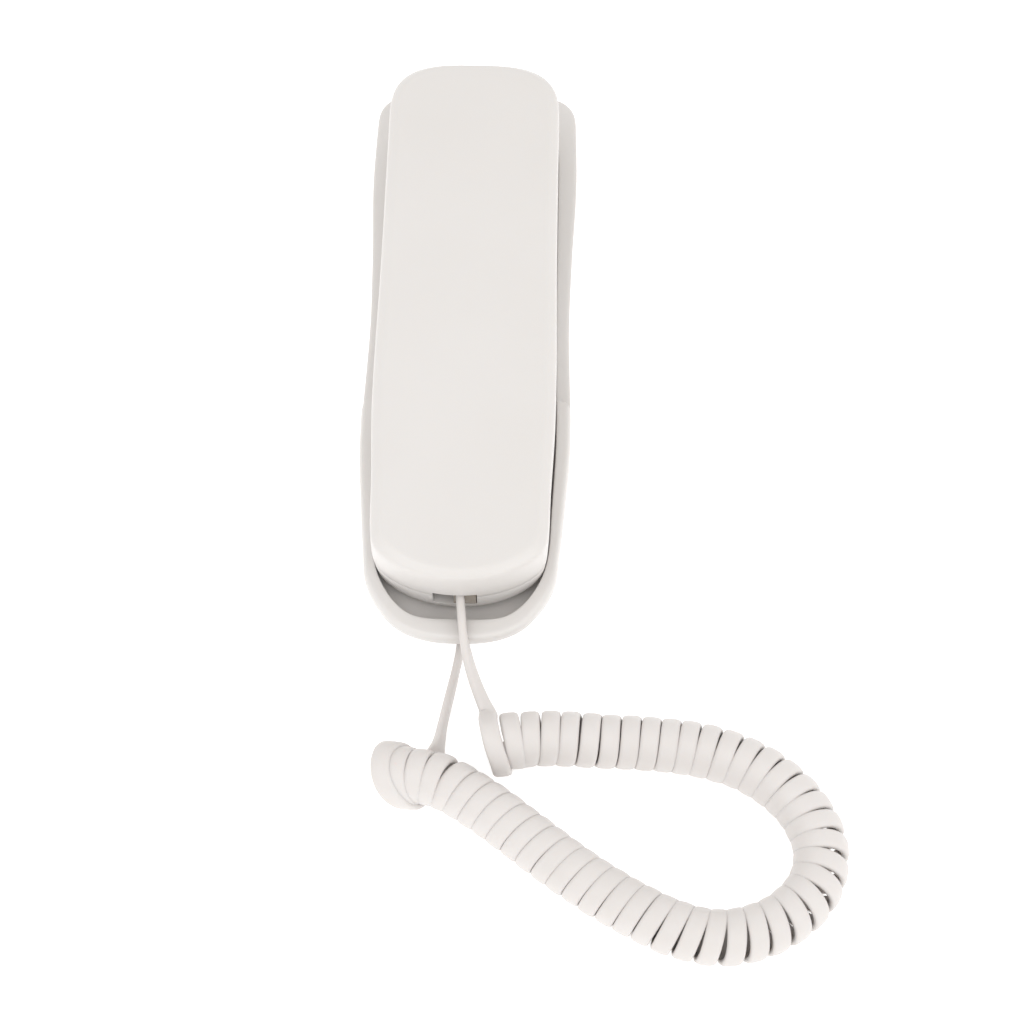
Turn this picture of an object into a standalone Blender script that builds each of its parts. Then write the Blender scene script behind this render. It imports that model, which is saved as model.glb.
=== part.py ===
"""Slimline wall telephone: a cradle base, a handset with its keypad inside, and a curly cord.

Metres, +Z up from the surface the base lies on, +Y towards the receiver end, +X to the right.
The origin is under the middle of the base.
"""

import math

import bmesh
import bpy
from mathutils import Vector

MM = 0.001

# Handset
HANDSET_LENGTH = 167.8 * MM
HANDSET_WIDTH = 48.9 * MM
HANDSET_TOE_DEPTH = 21.7 * MM
HANDSET_HEAD_DEPTH = 26.7 * MM
HANDSET_CROWN = 0.7 * MM
HANDSET_WALL = 2.0 * MM
HANDSET_FLOOR = 1.8 * MM
REST_GAP = 2.3 * MM
SPLIT_RISE = 7.7 * MM
BULGE_RISE = 12.7 * MM
# Half-width added to the nominal, at shares of the length from the toe end
HANDSET_WAIST = [(0.0, -4.0), (0.075, -1.24), (0.18, -0.6), (0.32, 0.35), (0.6, 0.0), (1.0, 0.0)]
# Rounding of an outline's ends: toe and head length, then toe and head superellipse powers
HANDSET_ENDS = (11.8 * MM, 20.0 * MM, 2.0, 3.2)
BAY_ENDS = (45.0 * MM, 20.0 * MM, 4.3, 3.2)
BASE_ENDS = (22.9 * MM, 16.0 * MM, 2.44, 4.0)
# Rings of the handset in mm: inset at the sides, toe and head, and the height they are at
SPLIT_INSETS = (0.3 * MM, 1.4 * MM, 0.7 * MM)
COVER_RINGS = [(0.0, 0.1, 0.0, 3.4), (0.6, 0.4, 0.4, 1.2), (2.6, 2.3, 1.6, 0.0)]
FACE_RINGS = [(1.0, 2.5, 1.6, 1.7), (2.2, 3.6, 2.8, 0.0)]
BULGE_INSETS = (0.0, 0.4 * MM, 0.0)

# Base
TOE_MARGIN = 8.7 * MM
HEAD_MARGIN = 11.5 * MM
BAY_MARGIN = 0.35 * MM
BAY_TOE_MARGIN = 2.8 * MM
BAY_HEAD_MARGIN = 2.0 * MM
RIM_WIDTHS = [(0.0, 4.2), (0.12, 2.4), (0.2, 3.3), (0.3, 3.9), (0.39, 3.95), (0.46, 3.7), (0.55, 3.6),
              (0.68, 4.3), (0.81, 5.3), (0.93, 5.0), (1.0, 4.6)]
BASE_BOTTOM = 1.2 * MM
BASE_WALL = 2.2 * MM
SIDE_DRAFT = 1.6 * MM
TOE_DRAFT = 8.4 * MM
TOE_DRAFT_INSIDE = 5.0 * MM
HEAD_DRAFT = 1.0 * MM
TRAY_FLOOR = 14.0 * MM
TRAY_THICKNESS = 2.2 * MM
DECK_RISE = 1.2 * MM
RIM_RISE = 6.0 * MM
TRAY_DRAFT = 0.5 * MM
# Outer rings of the casing in mm: inset at the sides, toe and head, and the drop below the rim
CASING_RINGS = [(0.7, 4.8, 0.2, 12.0), (0.0, 1.6, 0.0, 6.0), (0.0, 0.0, 0.0, 3.0), (0.4, 0.5, 0.4, 0.8),
                (1.2, 1.4, 1.2, 0.0)]
CUP_LENGTH = 75.5 * MM
CUP_SHOULDER = 4.0 * MM
PLATE_THICKNESS = 2.0 * MM
FOOT_RADIUS = 5.0 * MM
FOOT_HEIGHT = 2.2 * MM
FOOT_RECESS = 1.5 * MM
# Places along and in from the sides: (from the head or toe end, in from the side)
HEAD_POSTS = (22.0 * MM, 9.0 * MM)
TOE_POSTS = (38.0 * MM, 8.0 * MM)
HEAD_FEET = (36.0 * MM, 10.5 * MM)
TOE_FEET = (28.0 * MM, 12.0 * MM)

# Clearances
GAP = 0.3 * MM
RUNNING_GAP = 0.4 * MM

# Receiver, microphone and keypad
RECEIVER_MARGIN = 7.55 * MM
RECEIVER_EDGE = 6.0 * MM
RECEIVER_DROP = 2.5 * MM
RECEIVER_DEPTH = 8.5 * MM
RECEIVER_RECESS = 0.8 * MM
MIC_FROM_TOE = 28.0 * MM
MIC_RING_RADIUS = 11.0 * MM
MIC_DROP = 1.6 * MM
MIC_RADIUS = 4.9 * MM
MIC_DEPTH = 4.4 * MM
KEY_WIDTH = 9.5 * MM
KEY_HEIGHT = 7.0 * MM
KEY_SPACE = 3.5 * MM
KEY_PROUD = 1.2 * MM
KEY_TRAVEL = 1.2 * MM
KEY_FLANGE = 0.8 * MM
KEY_FLANGE_THICKNESS = 0.8 * MM
KEY_ROWS = [["1", "2", "3"], ["4", "5", "6"], ["7", "8", "9"], ["star", "0", "hash"],
            ["flash", "redial", "mute"]]
MAT_THICKNESS = 1.2 * MM
BOARD_THICKNESS = 1.6 * MM
BOARD_WIDTH = 36.0 * MM
BOARD_RISE = 1.2 * MM
WEIGHT_SIZE = (28.0 * MM, 17.0 * MM, 5.4 * MM)
WEIGHT_SHIFT = 2.5 * MM
WEIGHT_GAP = 0.6 * MM

# Sockets and plugs of the curly cord: both sit sideways, so the flat cord leaves on edge
PLUG_THICKNESS = 7.6 * MM
PLUG_WIDTH = 7.65 * MM
PLUG_LENGTH = 12.0 * MM
SLOT_LATCH_ROOM = 4.1 * MM
SLOT_CLEARANCE = 0.55 * MM
JACK_WALL = 0.8 * MM
JACK_DEPTH = 13.6 * MM
JACK_END = 1.4 * MM
JACK_CLEARANCE = 0.35 * MM
JACK_SETBACK = 0.7 * MM
HANDSET_SLOT_X = -1.0 * MM
HANDSET_PLUG_INSET = 2.2 * MM
HANDSET_JACK_INSET = 6.6 * MM
BASE_SLOT_X = 0.6 * MM
BASE_PLUG_INSET = 8.0 * MM

# Fixings
POST_RADIUS = 3.2 * MM
POST_SPACE = 2.0 * MM
KEYPAD_SPACE = 1.5 * MM
SCREW_RADIUS = 1.1 * MM
SCREW_HEAD_RADIUS = 2.6 * MM
SCREW_HEAD_HEIGHT = 1.2 * MM
PLATE_SHOULDER = 1.4 * MM
HANDSET_SHOULDER = 1.8 * MM
BASE_SCREW_LENGTH = 6.5 * MM
HANDSET_SCREW_LENGTH = 8.0 * MM
KEYHOLE_SPACING = 85.7 * MM
KEYHOLE_RADIUS = 4.6 * MM
KEYHOLE_NECK = 4.8 * MM
KEYHOLE_RUN = 9.0 * MM

# Hook switch, lug, knobs and line socket
PLUNGER_RADIUS = 2.4 * MM
PLUNGER_TRAVEL = 3.0 * MM
PLUNGER_STOP = 0.5 * MM
PLUNGER_X = 9.0 * MM
SPRING_RADIUS = 1.1 * MM
SPRING_WIRE = 0.3 * MM
SPRING_TURNS = 4
LUG_WIDTH = 9.0 * MM
LUG_THICKNESS = 2.0 * MM
LUG_SPACE = 2.4 * MM
KNOB_SIZE = (4.0 * MM, 3.0 * MM)
KNOB_TRAVEL = 1.5 * MM
KNOB_X = 13.6 * MM
KNOB_FLANGE = 1.2 * MM
KNOB_SETBACK = 2.2 * MM
LINE_JACK_WIDTH = 13.0 * MM
LINE_JACK_DEPTH = 10.6 * MM
LINE_OPENING = (10.0 * MM, 6.6 * MM)
LINE_OPENING_RISE = 0.8 * MM
RINGER_RADIUS = 9.5 * MM

# Curly cord: coil diameter over the outside, and the flat cord's plain stretches
COIL_DIAMETER = 14.4 * MM
LEAD_DIAMETER = 3.0 * MM
COIL_AXIS_Z = 7.4 * MM
COIL_ROUTE = [(8.6, -118.0), (24.5, -116.4), (38.0, -116.8), (51.0, -117.3), (64.0, -118.8),
              (74.5, -122.0), (83.4, -127.4), (90.7, -135.6), (94.4, -146.0), (92.6, -155.6),
              (86.0, -163.6), (77.2, -168.4), (68.2, -170.1), (58.1, -168.3), (48.0, -163.8),
              (38.0, -158.0), (27.8, -150.9), (17.4, -142.9), (6.9, -135.1), (-3.6, -129.2),
              (-17.6, -127.4)]
HANDSET_LEAD_ROUTE = [(0.4, -83.45, 23.3), (0.8, -86.4, 23.3), (1.4, -90.0, 23.2), (2.3, -94.0, 22.0),
                      (3.5, -98.0, 18.8), (5.1, -101.8, 15.6), (7.3, -105.6, 13.0), (9.9, -109.2, 11.0)]
BASE_LEAD_ROUTE = [(0.6, -86.35, 6.55), (0.5, -90.0, 6.2), (0.2, -94.4, 4.9), (-0.8, -98.6, 3.3),
                   (-2.4, -104.0, 2.1), (-3.9, -110.0, 1.6), (-5.2, -116.0, 1.55), (-6.2, -121.6, 1.55)]

END_STEPS = 8
SIDE_STEPS = 8


# ---------------------------------------------------------------- shared places

BASE_LENGTH = HANDSET_LENGTH + TOE_MARGIN + HEAD_MARGIN
BASE_TOE = -0.5 * BASE_LENGTH
BASE_HEAD = 0.5 * BASE_LENGTH
HANDSET_TOE = BASE_TOE + TOE_MARGIN
HANDSET_HEAD = BASE_HEAD - HEAD_MARGIN
CEILING = TRAY_FLOOR - TRAY_THICKNESS
DECK_TOP = TRAY_FLOOR + DECK_RISE
RIM_TOP = TRAY_FLOOR + RIM_RISE
PLATE_TOP = BASE_BOTTOM + PLATE_THICKNESS
HANDSET_FACE = TRAY_FLOOR + REST_GAP
HANDSET_SPLIT = HANDSET_FACE + SPLIT_RISE
HANDSET_BULGE = HANDSET_FACE + BULGE_RISE
HANDSET_INSIDE = HANDSET_FACE + HANDSET_FLOOR
RECEIVER_RING = 0.5 * HANDSET_WIDTH - RECEIVER_EDGE
RECEIVER_Y = HANDSET_HEAD - RECEIVER_MARGIN - RECEIVER_RING
MIC_Y = HANDSET_TOE + MIC_FROM_TOE
KEY_COLUMN_PITCH = KEY_WIDTH + KEY_SPACE
KEY_FLANGE_BOTTOM = HANDSET_INSIDE + GAP
KEY_FLANGE_TOP = KEY_FLANGE_BOTTOM + KEY_FLANGE_THICKNESS
MAT_BOTTOM = KEY_FLANGE_TOP + KEY_TRAVEL + GAP
BOARD_BOTTOM = MAT_BOTTOM + MAT_THICKNESS + GAP
UPPER_SCREW_Y = RECEIVER_Y - RECEIVER_RING - POST_RADIUS - POST_SPACE
LOWER_SCREW_Y = MIC_Y + MIC_RING_RADIUS + POST_RADIUS + POST_SPACE
KEYPAD_TOP = UPPER_SCREW_Y - POST_RADIUS - KEYPAD_SPACE
KEYPAD_BOTTOM = LOWER_SCREW_Y + POST_RADIUS + KEYPAD_SPACE
ROW_PITCH = (KEYPAD_TOP - KEYPAD_BOTTOM) / len(KEY_ROWS)
PLUNGER_Y = UPPER_SCREW_Y
PLUNGER_TOP = HANDSET_FACE - RUNNING_GAP
LUG_Y = RECEIVER_Y + RECEIVER_RING + LUG_SPACE
SLOT_WIDTH = PLUG_THICKNESS + SLOT_LATCH_ROOM
SLOT_HEIGHT = PLUG_WIDTH + SLOT_CLEARANCE
BASE_SLOT_Z = CEILING - JACK_CLEARANCE - JACK_WALL - 0.5 * SLOT_HEIGHT
HANDSET_SLOT_Z = HANDSET_INSIDE + GAP + JACK_WALL + 0.5 * SLOT_HEIGHT
BASE_JACK_MOUTH = BASE_TOE + TOE_DRAFT + BASE_WALL + JACK_SETBACK
HANDSET_JACK_MOUTH = HANDSET_TOE + HANDSET_JACK_INSET
BOARD_TOP = PLATE_TOP + BOARD_RISE + BOARD_THICKNESS
KNOB_Z = 0.5 * (PLATE_TOP + CEILING)
LINE_OPENING_BOTTOM = PLATE_TOP + LINE_OPENING_RISE


def through(stations, share):
    """Smooth curve through (share, value in mm) stations, in metres."""
    share = min(max(share, stations[0][0]), stations[-1][0])
    last = len(stations) - 1
    index = 0
    while index < last - 1 and share > stations[index + 1][0]:
        index += 1
    left, right = stations[index], stations[index + 1]
    before, after = stations[max(index - 1, 0)], stations[min(index + 2, last)]
    span = right[0] - left[0]
    slope_left = (right[1] - before[1]) / (right[0] - before[0]) * span
    slope_right = (after[1] - left[1]) / (after[0] - left[0]) * span
    t = (share - left[0]) / span
    value = ((2 * t ** 3 - 3 * t ** 2 + 1) * left[1] + (t ** 3 - 2 * t ** 2 + t) * slope_left
             + (3 * t ** 2 - 2 * t ** 3) * right[1] + (t ** 3 - t ** 2) * slope_right)
    return value * MM


def handset_half(y):
    return 0.5 * HANDSET_WIDTH + through(HANDSET_WAIST, (y - HANDSET_TOE) / HANDSET_LENGTH)


def bay_half(y):
    return handset_half(y) + BAY_MARGIN


def base_half(y):
    return bay_half(y) + through(RIM_WIDTHS, (y - BASE_TOE) / BASE_LENGTH)


def handset_top(y):
    share = min(max((y - HANDSET_TOE) / HANDSET_LENGTH, 0.0), 1.0)
    depth = HANDSET_TOE_DEPTH + (HANDSET_HEAD_DEPTH - HANDSET_TOE_DEPTH) * share
    return HANDSET_FACE + depth + HANDSET_CROWN * 4.0 * share * (1.0 - share)


# ---------------------------------------------------------------- shape helpers

def half_outline(side, inset, toe, head, ends):
    """Right-hand half of a plan outline from the toe's middle to the head's middle."""
    toe_round, head_round, toe_power, head_power = ends
    toe_start = toe + toe_round
    head_start = head - head_round
    points = []
    for step in range(END_STEPS + 1):
        angle = 0.5 * math.pi * step / END_STEPS
        y = toe_start - toe_round * max(math.cos(angle), 0.0) ** (2.0 / toe_power)
        points.append(((side(y) - inset) * math.sin(angle) ** (2.0 / toe_power), y))
    for step in range(1, SIDE_STEPS):
        y = toe_start + (head_start - toe_start) * step / SIDE_STEPS
        points.append((side(y) - inset, y))
    for step in range(END_STEPS, -1, -1):
        angle = 0.5 * math.pi * step / END_STEPS
        y = head_start + head_round * max(math.cos(angle), 0.0) ** (2.0 / head_power)
        points.append(((side(y) - inset) * math.sin(angle) ** (2.0 / head_power), y))
    return points


def base_outline(inset=0.0, toe_inset=None, head_inset=None):
    toe = BASE_TOE + (inset if toe_inset is None else toe_inset)
    head = BASE_HEAD - (inset if head_inset is None else head_inset)
    return half_outline(base_half, inset, toe, head, BASE_ENDS)


def bay_outline(inset=0.0):
    toe = HANDSET_TOE - BAY_TOE_MARGIN + inset
    head = HANDSET_HEAD + BAY_HEAD_MARGIN - inset
    return half_outline(bay_half, inset, toe, head, BAY_ENDS)


def handset_outline(inset, toe_inset, head_inset):
    toe = HANDSET_TOE + toe_inset
    head = HANDSET_HEAD - head_inset
    return half_outline(handset_half, inset, toe, head, HANDSET_ENDS)


def handset_ring(extra, insets, z):
    """Ring of the handset's outline, inset by extra and by (side, toe, head) insets."""
    return at_height(handset_outline(*(extra + inset for inset in insets)), z)


def in_metres(values):
    return tuple(value * MM for value in values)


def at_height(outline, z):
    """Ring of points at one height, or at a height that varies along Y."""
    if callable(z):
        return [(x, y, z(y)) for x, y in outline]
    return [(x, y, z) for x, y in outline]


def make_object(name, mesh_builder, material, location=(0.0, 0.0, 0.0), smooth=35.0):
    """Write a bmesh to a named object, facing out, with its edges sharp past the angle given."""
    bmesh.ops.recalc_face_normals(mesh_builder, faces=mesh_builder.faces)
    mesh = bpy.data.meshes.new(name)
    mesh_builder.to_mesh(mesh)
    mesh_builder.free()
    mesh.shade_smooth()
    mesh.set_sharp_from_angle(angle=math.radians(smooth))
    if material is not None:
        mesh.materials.append(material)
    piece = bpy.data.objects.new(name, mesh)
    piece.location = location
    bpy.context.scene.collection.objects.link(piece)
    return piece


def loft(rings):
    """Closed body through mirrored rings, each a half outline, with its two ends covered."""
    builder = bmesh.new()
    loops = []
    for ring in rings:
        right = [builder.verts.new(point) for point in ring]
        left = [builder.verts.new((-x, y, z)) for x, y, z in ring[1:-1]]
        loops.append(right + left[::-1])
    count = len(loops[0])
    for lower, upper in zip(loops, loops[1:]):
        for index in range(count):
            following = (index + 1) % count
            builder.faces.new((lower[index], lower[following], upper[following], upper[index]))
    for loop in (loops[0], loops[-1]):
        half = count // 2
        builder.faces.new((loop[0], loop[1], loop[-1]))
        for index in range(1, half - 1):
            builder.faces.new((loop[index], loop[index + 1], loop[count - index - 1], loop[count - index]))
        builder.faces.new((loop[half - 1], loop[half], loop[half + 1]))
    return builder


def stack(sections):
    """Closed body through closed plan sections: (points, z) pairs with the same number of points."""
    builder = bmesh.new()
    loops = [[builder.verts.new((x, y, z)) for x, y in points] for points, z in sections]
    count = len(loops[0])
    for lower, upper in zip(loops, loops[1:]):
        for index in range(count):
            following = (index + 1) % count
            builder.faces.new((lower[index], lower[following], upper[following], upper[index]))
    builder.faces.new(loops[0])
    builder.faces.new(loops[-1][::-1])
    return builder


def rectangle(x, y, width, depth, corner=0.0):
    """Plan rectangle with its corners cut off."""
    a, b = 0.5 * width, 0.5 * depth
    if corner <= 0.0:
        return [(x - a, y - b), (x + a, y - b), (x + a, y + b), (x - a, y + b)]
    return [(x - a + corner, y - b), (x + a - corner, y - b),
            (x + a, y - b + corner), (x + a, y + b - corner),
            (x + a - corner, y + b), (x - a + corner, y + b),
            (x - a, y + b - corner), (x - a, y - b + corner)]


def circle(x, y, radius, sides):
    return [(x + radius * math.cos(2.0 * math.pi * step / sides),
             y + radius * math.sin(2.0 * math.pi * step / sides)) for step in range(sides)]


def block(x, y, width, depth, bottom, top, corner=0.0):
    plan = rectangle(x, y, width, depth, corner)
    return stack([(plan, bottom), (plan, top)])


def drum(x, y, radius, bottom, top, sides=20):
    plan = circle(x, y, radius, sides)
    return stack([(plan, bottom), (plan, top)])


def turned(x, y, profile, sides=24):
    """Closed body turned about a vertical line, from (radius, z) points that start and end at radius 0
    or that close on themselves as a ring."""
    builder = bmesh.new()
    closed_ring = profile[0][0] > 0.0
    loops = []
    for radius, z in profile:
        if radius <= 0.0:
            loops.append([builder.verts.new((x, y, z))])
        else:
            loops.append([builder.verts.new((px, py, z)) for px, py in circle(x, y, radius, sides)])
    pairs = list(zip(loops, loops[1:]))
    if closed_ring:
        pairs.append((loops[-1], loops[0]))
    for lower, upper in pairs:
        for index in range(sides):
            following = (index + 1) % sides
            corners = [lower[index % len(lower)], lower[following % len(lower)],
                       upper[following % len(upper)], upper[index % len(upper)]]
            unique = []
            for corner in corners:
                if corner not in unique:
                    unique.append(corner)
            builder.faces.new(unique)
    return builder


def merged(builders):
    """One builder that holds the bodies of several."""
    whole = bmesh.new()
    for builder in builders:
        bmesh.ops.recalc_face_normals(builder, faces=builder.faces)
        copies = {vert: whole.verts.new(vert.co) for vert in builder.verts}
        for face in builder.faces:
            whole.faces.new([copies[vert] for vert in face.verts])
        builder.free()
    return whole


def combine(piece, operation, builders):
    """Cut bodies from a piece, or join them to it, through a hidden guide object."""
    guide = make_object("%s_guide_%d" % (piece.name, len(piece.modifiers) + 1), merged(builders), None,
                        piece.location)
    guide.hide_render = True
    guide.display_type = 'WIRE'
    guide.hide_set(True)
    modifier = piece.modifiers.new("Shape", 'BOOLEAN')
    modifier.operation = operation
    modifier.solver = 'EXACT'
    modifier.object = guide
    return piece


def smooth_route(points, spacing):
    """Evenly spaced points on a Catmull-Rom curve through the route's own points."""
    route = [Vector(point) for point in points]
    padded = [2 * route[0] - route[1]] + route + [2 * route[-1] - route[-2]]
    fine = []
    for index in range(1, len(padded) - 2):
        a, b, c, d = padded[index - 1:index + 3]
        for step in range(16):
            t = step / 16.0
            fine.append(0.5 * ((2 * b) + (c - a) * t + (2 * a - 5 * b + 4 * c - d) * t * t
                               + (3 * b - a - 3 * c + d) * t ** 3))
    fine.append(route[-1])
    total = sum((q - p).length for p, q in zip(fine, fine[1:]))
    count = max(int(round(total / spacing)), 2)
    samples = [fine[0]]
    travelled, target, index = 0.0, total / count, 0
    while len(samples) < count:
        step = (fine[index + 1] - fine[index]).length
        if travelled + step >= target:
            samples.append(fine[index].lerp(fine[index + 1], (target - travelled) / step))
            target += total / count
        else:
            travelled += step
            index += 1
    return samples + [fine[-1]]


def tube(name, points, diameter, resolution, material):
    curve = bpy.data.curves.new(name, 'CURVE')
    curve.dimensions = '3D'
    curve.bevel_depth = 0.5 * diameter
    curve.bevel_resolution = resolution
    curve.use_fill_caps = True
    spline = curve.splines.new('POLY')
    spline.points.add(len(points) - 1)
    for point, place in zip(spline.points, points):
        point.co = (place[0], place[1], place[2], 1.0)
    curve.materials.append(material)
    piece = bpy.data.objects.new(name, curve)
    bpy.context.scene.collection.objects.link(piece)
    return piece


def make_material(name, colour, roughness, metallic=0.0):
    material = bpy.data.materials.new(name)
    material.use_nodes = True
    shader = material.node_tree.nodes["Principled BSDF"]
    shader.inputs["Base Color"].default_value = (*colour, 1.0)
    shader.inputs["Roughness"].default_value = roughness
    shader.inputs["Metallic"].default_value = metallic
    material.diffuse_color = (*colour, 1.0)
    return material


# ---------------------------------------------------------------- base

def plate_post_places():
    """Screw places in the base: two near the receiver end, two under the cup."""
    places = []
    for y, inward in ((BASE_HEAD - HEAD_POSTS[0], HEAD_POSTS[1]), (BASE_TOE + TOE_POSTS[0], TOE_POSTS[1])):
        places += [(side * (base_half(y) - inward), y) for side in (-1.0, 1.0)]
    return places


def foot_places():
    places = []
    for y, inward in ((BASE_HEAD - HEAD_FEET[0], HEAD_FEET[1]), (BASE_TOE + TOE_FEET[0], TOE_FEET[1])):
        places += [(side * (base_half(y) - inward), y) for side in (-1.0, 1.0)]
    return places


def shoulder_plan():
    """Plan of the space above the side strips, rounded where it meets the cup's shoulders."""
    start = BASE_TOE + CUP_LENGTH
    outer = base_half(start)
    inner = outer - CUP_SHOULDER
    reach = outer + 5.0 * MM
    plan = []
    for step in range(5):
        angle = 0.5 * math.pi * step / 4
        drop = CUP_SHOULDER * (1.0 - math.cos(angle))
        plan.append((inner + CUP_SHOULDER * math.sin(angle), start - drop))
    plan.append((reach, start - CUP_SHOULDER))
    plan.append((reach, BASE_HEAD + 5.0 * MM))
    return plan + [(-x, y) for x, y in plan[::-1]]


def socket_slot(x, end, mouth, z):
    """Cutter for a cord socket's mouth, through the end wall between its outside and the socket."""
    low, high = end - 3.0 * MM, mouth + 0.5 * MM
    half = 0.5 * SLOT_HEIGHT
    return block(x, 0.5 * (low + high), SLOT_WIDTH, high - low, z - half, z + half)


def build_base_shell(plastic):
    thin = BASE_WALL
    rings = [
        at_height(base_outline(thin + SIDE_DRAFT, thin + TOE_DRAFT_INSIDE, thin + HEAD_DRAFT), CEILING),
        at_height(base_outline(thin + SIDE_DRAFT, thin + TOE_DRAFT, thin + HEAD_DRAFT), BASE_BOTTOM),
        at_height(base_outline(SIDE_DRAFT, TOE_DRAFT, HEAD_DRAFT), BASE_BOTTOM),
    ]
    for side, toe, head, drop in map(in_metres, CASING_RINGS):
        rings.append(at_height(base_outline(side, toe, head), RIM_TOP - drop))
    rings.append(at_height(bay_outline(), RIM_TOP))
    rings.append(at_height(bay_outline(TRAY_DRAFT), TRAY_FLOOR))
    shell = make_object("base_shell", loft(rings), plastic)
    posts = [drum(x, y, POST_RADIUS, PLATE_TOP + GAP, CEILING + 1.0 * MM, 12)
             for x, y in plate_post_places()]
    combine(shell, 'UNION', posts)
    deck = stack([(shoulder_plan(), DECK_TOP), (shoulder_plan(), RIM_TOP + 5.0 * MM)])
    holes = [drum(x, y, SCREW_RADIUS + GAP, BASE_BOTTOM, CEILING - 0.6 * MM, 8)
             for x, y in plate_post_places()]
    holes.append(drum(0.0, RECEIVER_Y, RECEIVER_RING + 2.0 * GAP, TRAY_FLOOR - RECEIVER_RECESS,
                      TRAY_FLOOR + 0.8 * MM, 32))
    holes.append(drum(PLUNGER_X, PLUNGER_Y, PLUNGER_RADIUS + RUNNING_GAP, CEILING - 1.0 * MM,
                      TRAY_FLOOR + 1.0 * MM, 12))
    holes.append(block(0.0, LUG_Y, LUG_WIDTH + 2 * GAP, LUG_THICKNESS + 2 * GAP,
                       CEILING - 1.0 * MM, TRAY_FLOOR + 1.0 * MM))
    holes.append(socket_slot(BASE_SLOT_X, BASE_TOE, BASE_JACK_MOUTH, BASE_SLOT_Z))
    holes.append(block(0.0, BASE_HEAD - 1.0 * MM, LINE_OPENING[0], 8.0 * MM, LINE_OPENING_BOTTOM,
                       LINE_OPENING_BOTTOM + LINE_OPENING[1]))
    for side in (-1.0, 1.0):
        width = KNOB_SIZE[0] + 2.0 * (KNOB_TRAVEL + RUNNING_GAP)
        half_height = 0.5 * KNOB_SIZE[1] + RUNNING_GAP
        holes.append(block(side * KNOB_X, BASE_HEAD - 2.0 * MM, width, 8.0 * MM, KNOB_Z - half_height,
                           KNOB_Z + half_height))
    combine(shell, 'DIFFERENCE', [deck])
    combine(shell, 'DIFFERENCE', holes)
    return shell


def keyhole(y):
    """Cutter for one wall hanger: a round hole with a narrower slot running towards the receiver end."""
    half_neck = 0.5 * KEYHOLE_NECK
    angle = math.asin(half_neck / KEYHOLE_RADIUS)
    plan = [(half_neck, y + KEYHOLE_RUN), (-half_neck, y + KEYHOLE_RUN)]
    for step in range(13):
        turn = 0.5 * math.pi + angle + (2.0 * math.pi - 2.0 * angle) * step / 12
        plan.append((KEYHOLE_RADIUS * math.cos(turn), y + KEYHOLE_RADIUS * math.sin(turn)))
    return stack([(plan, 0.0), (plan, PLATE_TOP + 1.0 * MM)])


def build_back_plate(plastic):
    inset = BASE_WALL + GAP
    edge = base_outline(inset + SIDE_DRAFT, inset + TOE_DRAFT, inset + HEAD_DRAFT)
    sheet = loft([at_height(edge, BASE_BOTTOM), at_height(edge, PLATE_TOP)])
    plate = make_object("base_back_plate", sheet, plastic)
    cuts = [keyhole(side * 0.5 * KEYHOLE_SPACING) for side in (-1.0, 1.0)]
    cuts += [drum(x, y, FOOT_RADIUS + GAP, 0.0, BASE_BOTTOM + FOOT_RECESS, 16) for x, y in foot_places()]
    for x, y in plate_post_places():
        cuts.append(screw_hole(x, y, 0.0, BASE_BOTTOM + PLATE_SHOULDER, PLATE_TOP + 1.0 * MM))
    window = 2.0 * (JACK_DEPTH + 2.0 * GAP)
    cuts.append(block(BASE_SLOT_X, BASE_JACK_MOUTH, SLOT_WIDTH + 2 * JACK_WALL + 2 * GAP, window, 0.0,
                      PLATE_TOP + 1.0 * MM))
    return combine(plate, 'DIFFERENCE', cuts)


def screw_hole(x, y, bottom, shoulder, top):
    """Stepped cutter: room for the head up to the shoulder, then for the thread."""
    head, thread = SCREW_HEAD_RADIUS + GAP, SCREW_RADIUS + GAP
    return turned(x, y, [(0.0, bottom), (head, bottom), (head, shoulder), (thread, shoulder), (thread, top),
                         (0.0, top)], 12)


def build_screw(name, x, y, shoulder, length, steel):
    """Pan-head screw pointing up, its head just below the shoulder it pulls on."""
    top = shoulder - GAP
    head_bottom = top - SCREW_HEAD_HEIGHT
    profile = [(0.0, head_bottom), (0.75 * SCREW_HEAD_RADIUS, head_bottom),
               (SCREW_HEAD_RADIUS, head_bottom + 0.4 * MM), (SCREW_HEAD_RADIUS, top), (SCREW_RADIUS, top),
               (SCREW_RADIUS, top + length - 0.8 * MM), (0.0, top + length)]
    return make_object(name, turned(x, y, profile, 12), steel)


def build_plug(name, x, mouth_y, z, clear):
    """Modular plug lying on its side: the body, and the latch lever angled away from it."""
    rear = mouth_y
    front = rear + PLUG_LENGTH
    low = z - 0.5 * PLUG_WIDTH
    high = z + 0.5 * PLUG_WIDTH
    right = x + 0.5 * SLOT_WIDTH - GAP
    left = right - PLUG_THICKNESS + 1.7 * MM
    body = [(left, rear), (right, rear), (right, front), (left, front)]
    lever = [(left + 0.3 * MM, front - 0.6 * MM), (left - 1.2 * MM, front - 1.4 * MM),
             (left - 2.6 * MM, rear + 1.4 * MM), (left - 1.8 * MM, rear + 1.2 * MM),
             (left - 0.4 * MM, front - 3.4 * MM), (left + 0.3 * MM, front - 3.2 * MM)]
    plug = make_object(name, stack([(body, low), (body, high)]), clear)
    latch = stack([(lever, z - 1.6 * MM), (lever, z + 1.6 * MM)])
    return combine(plug, 'UNION', [latch])


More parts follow.
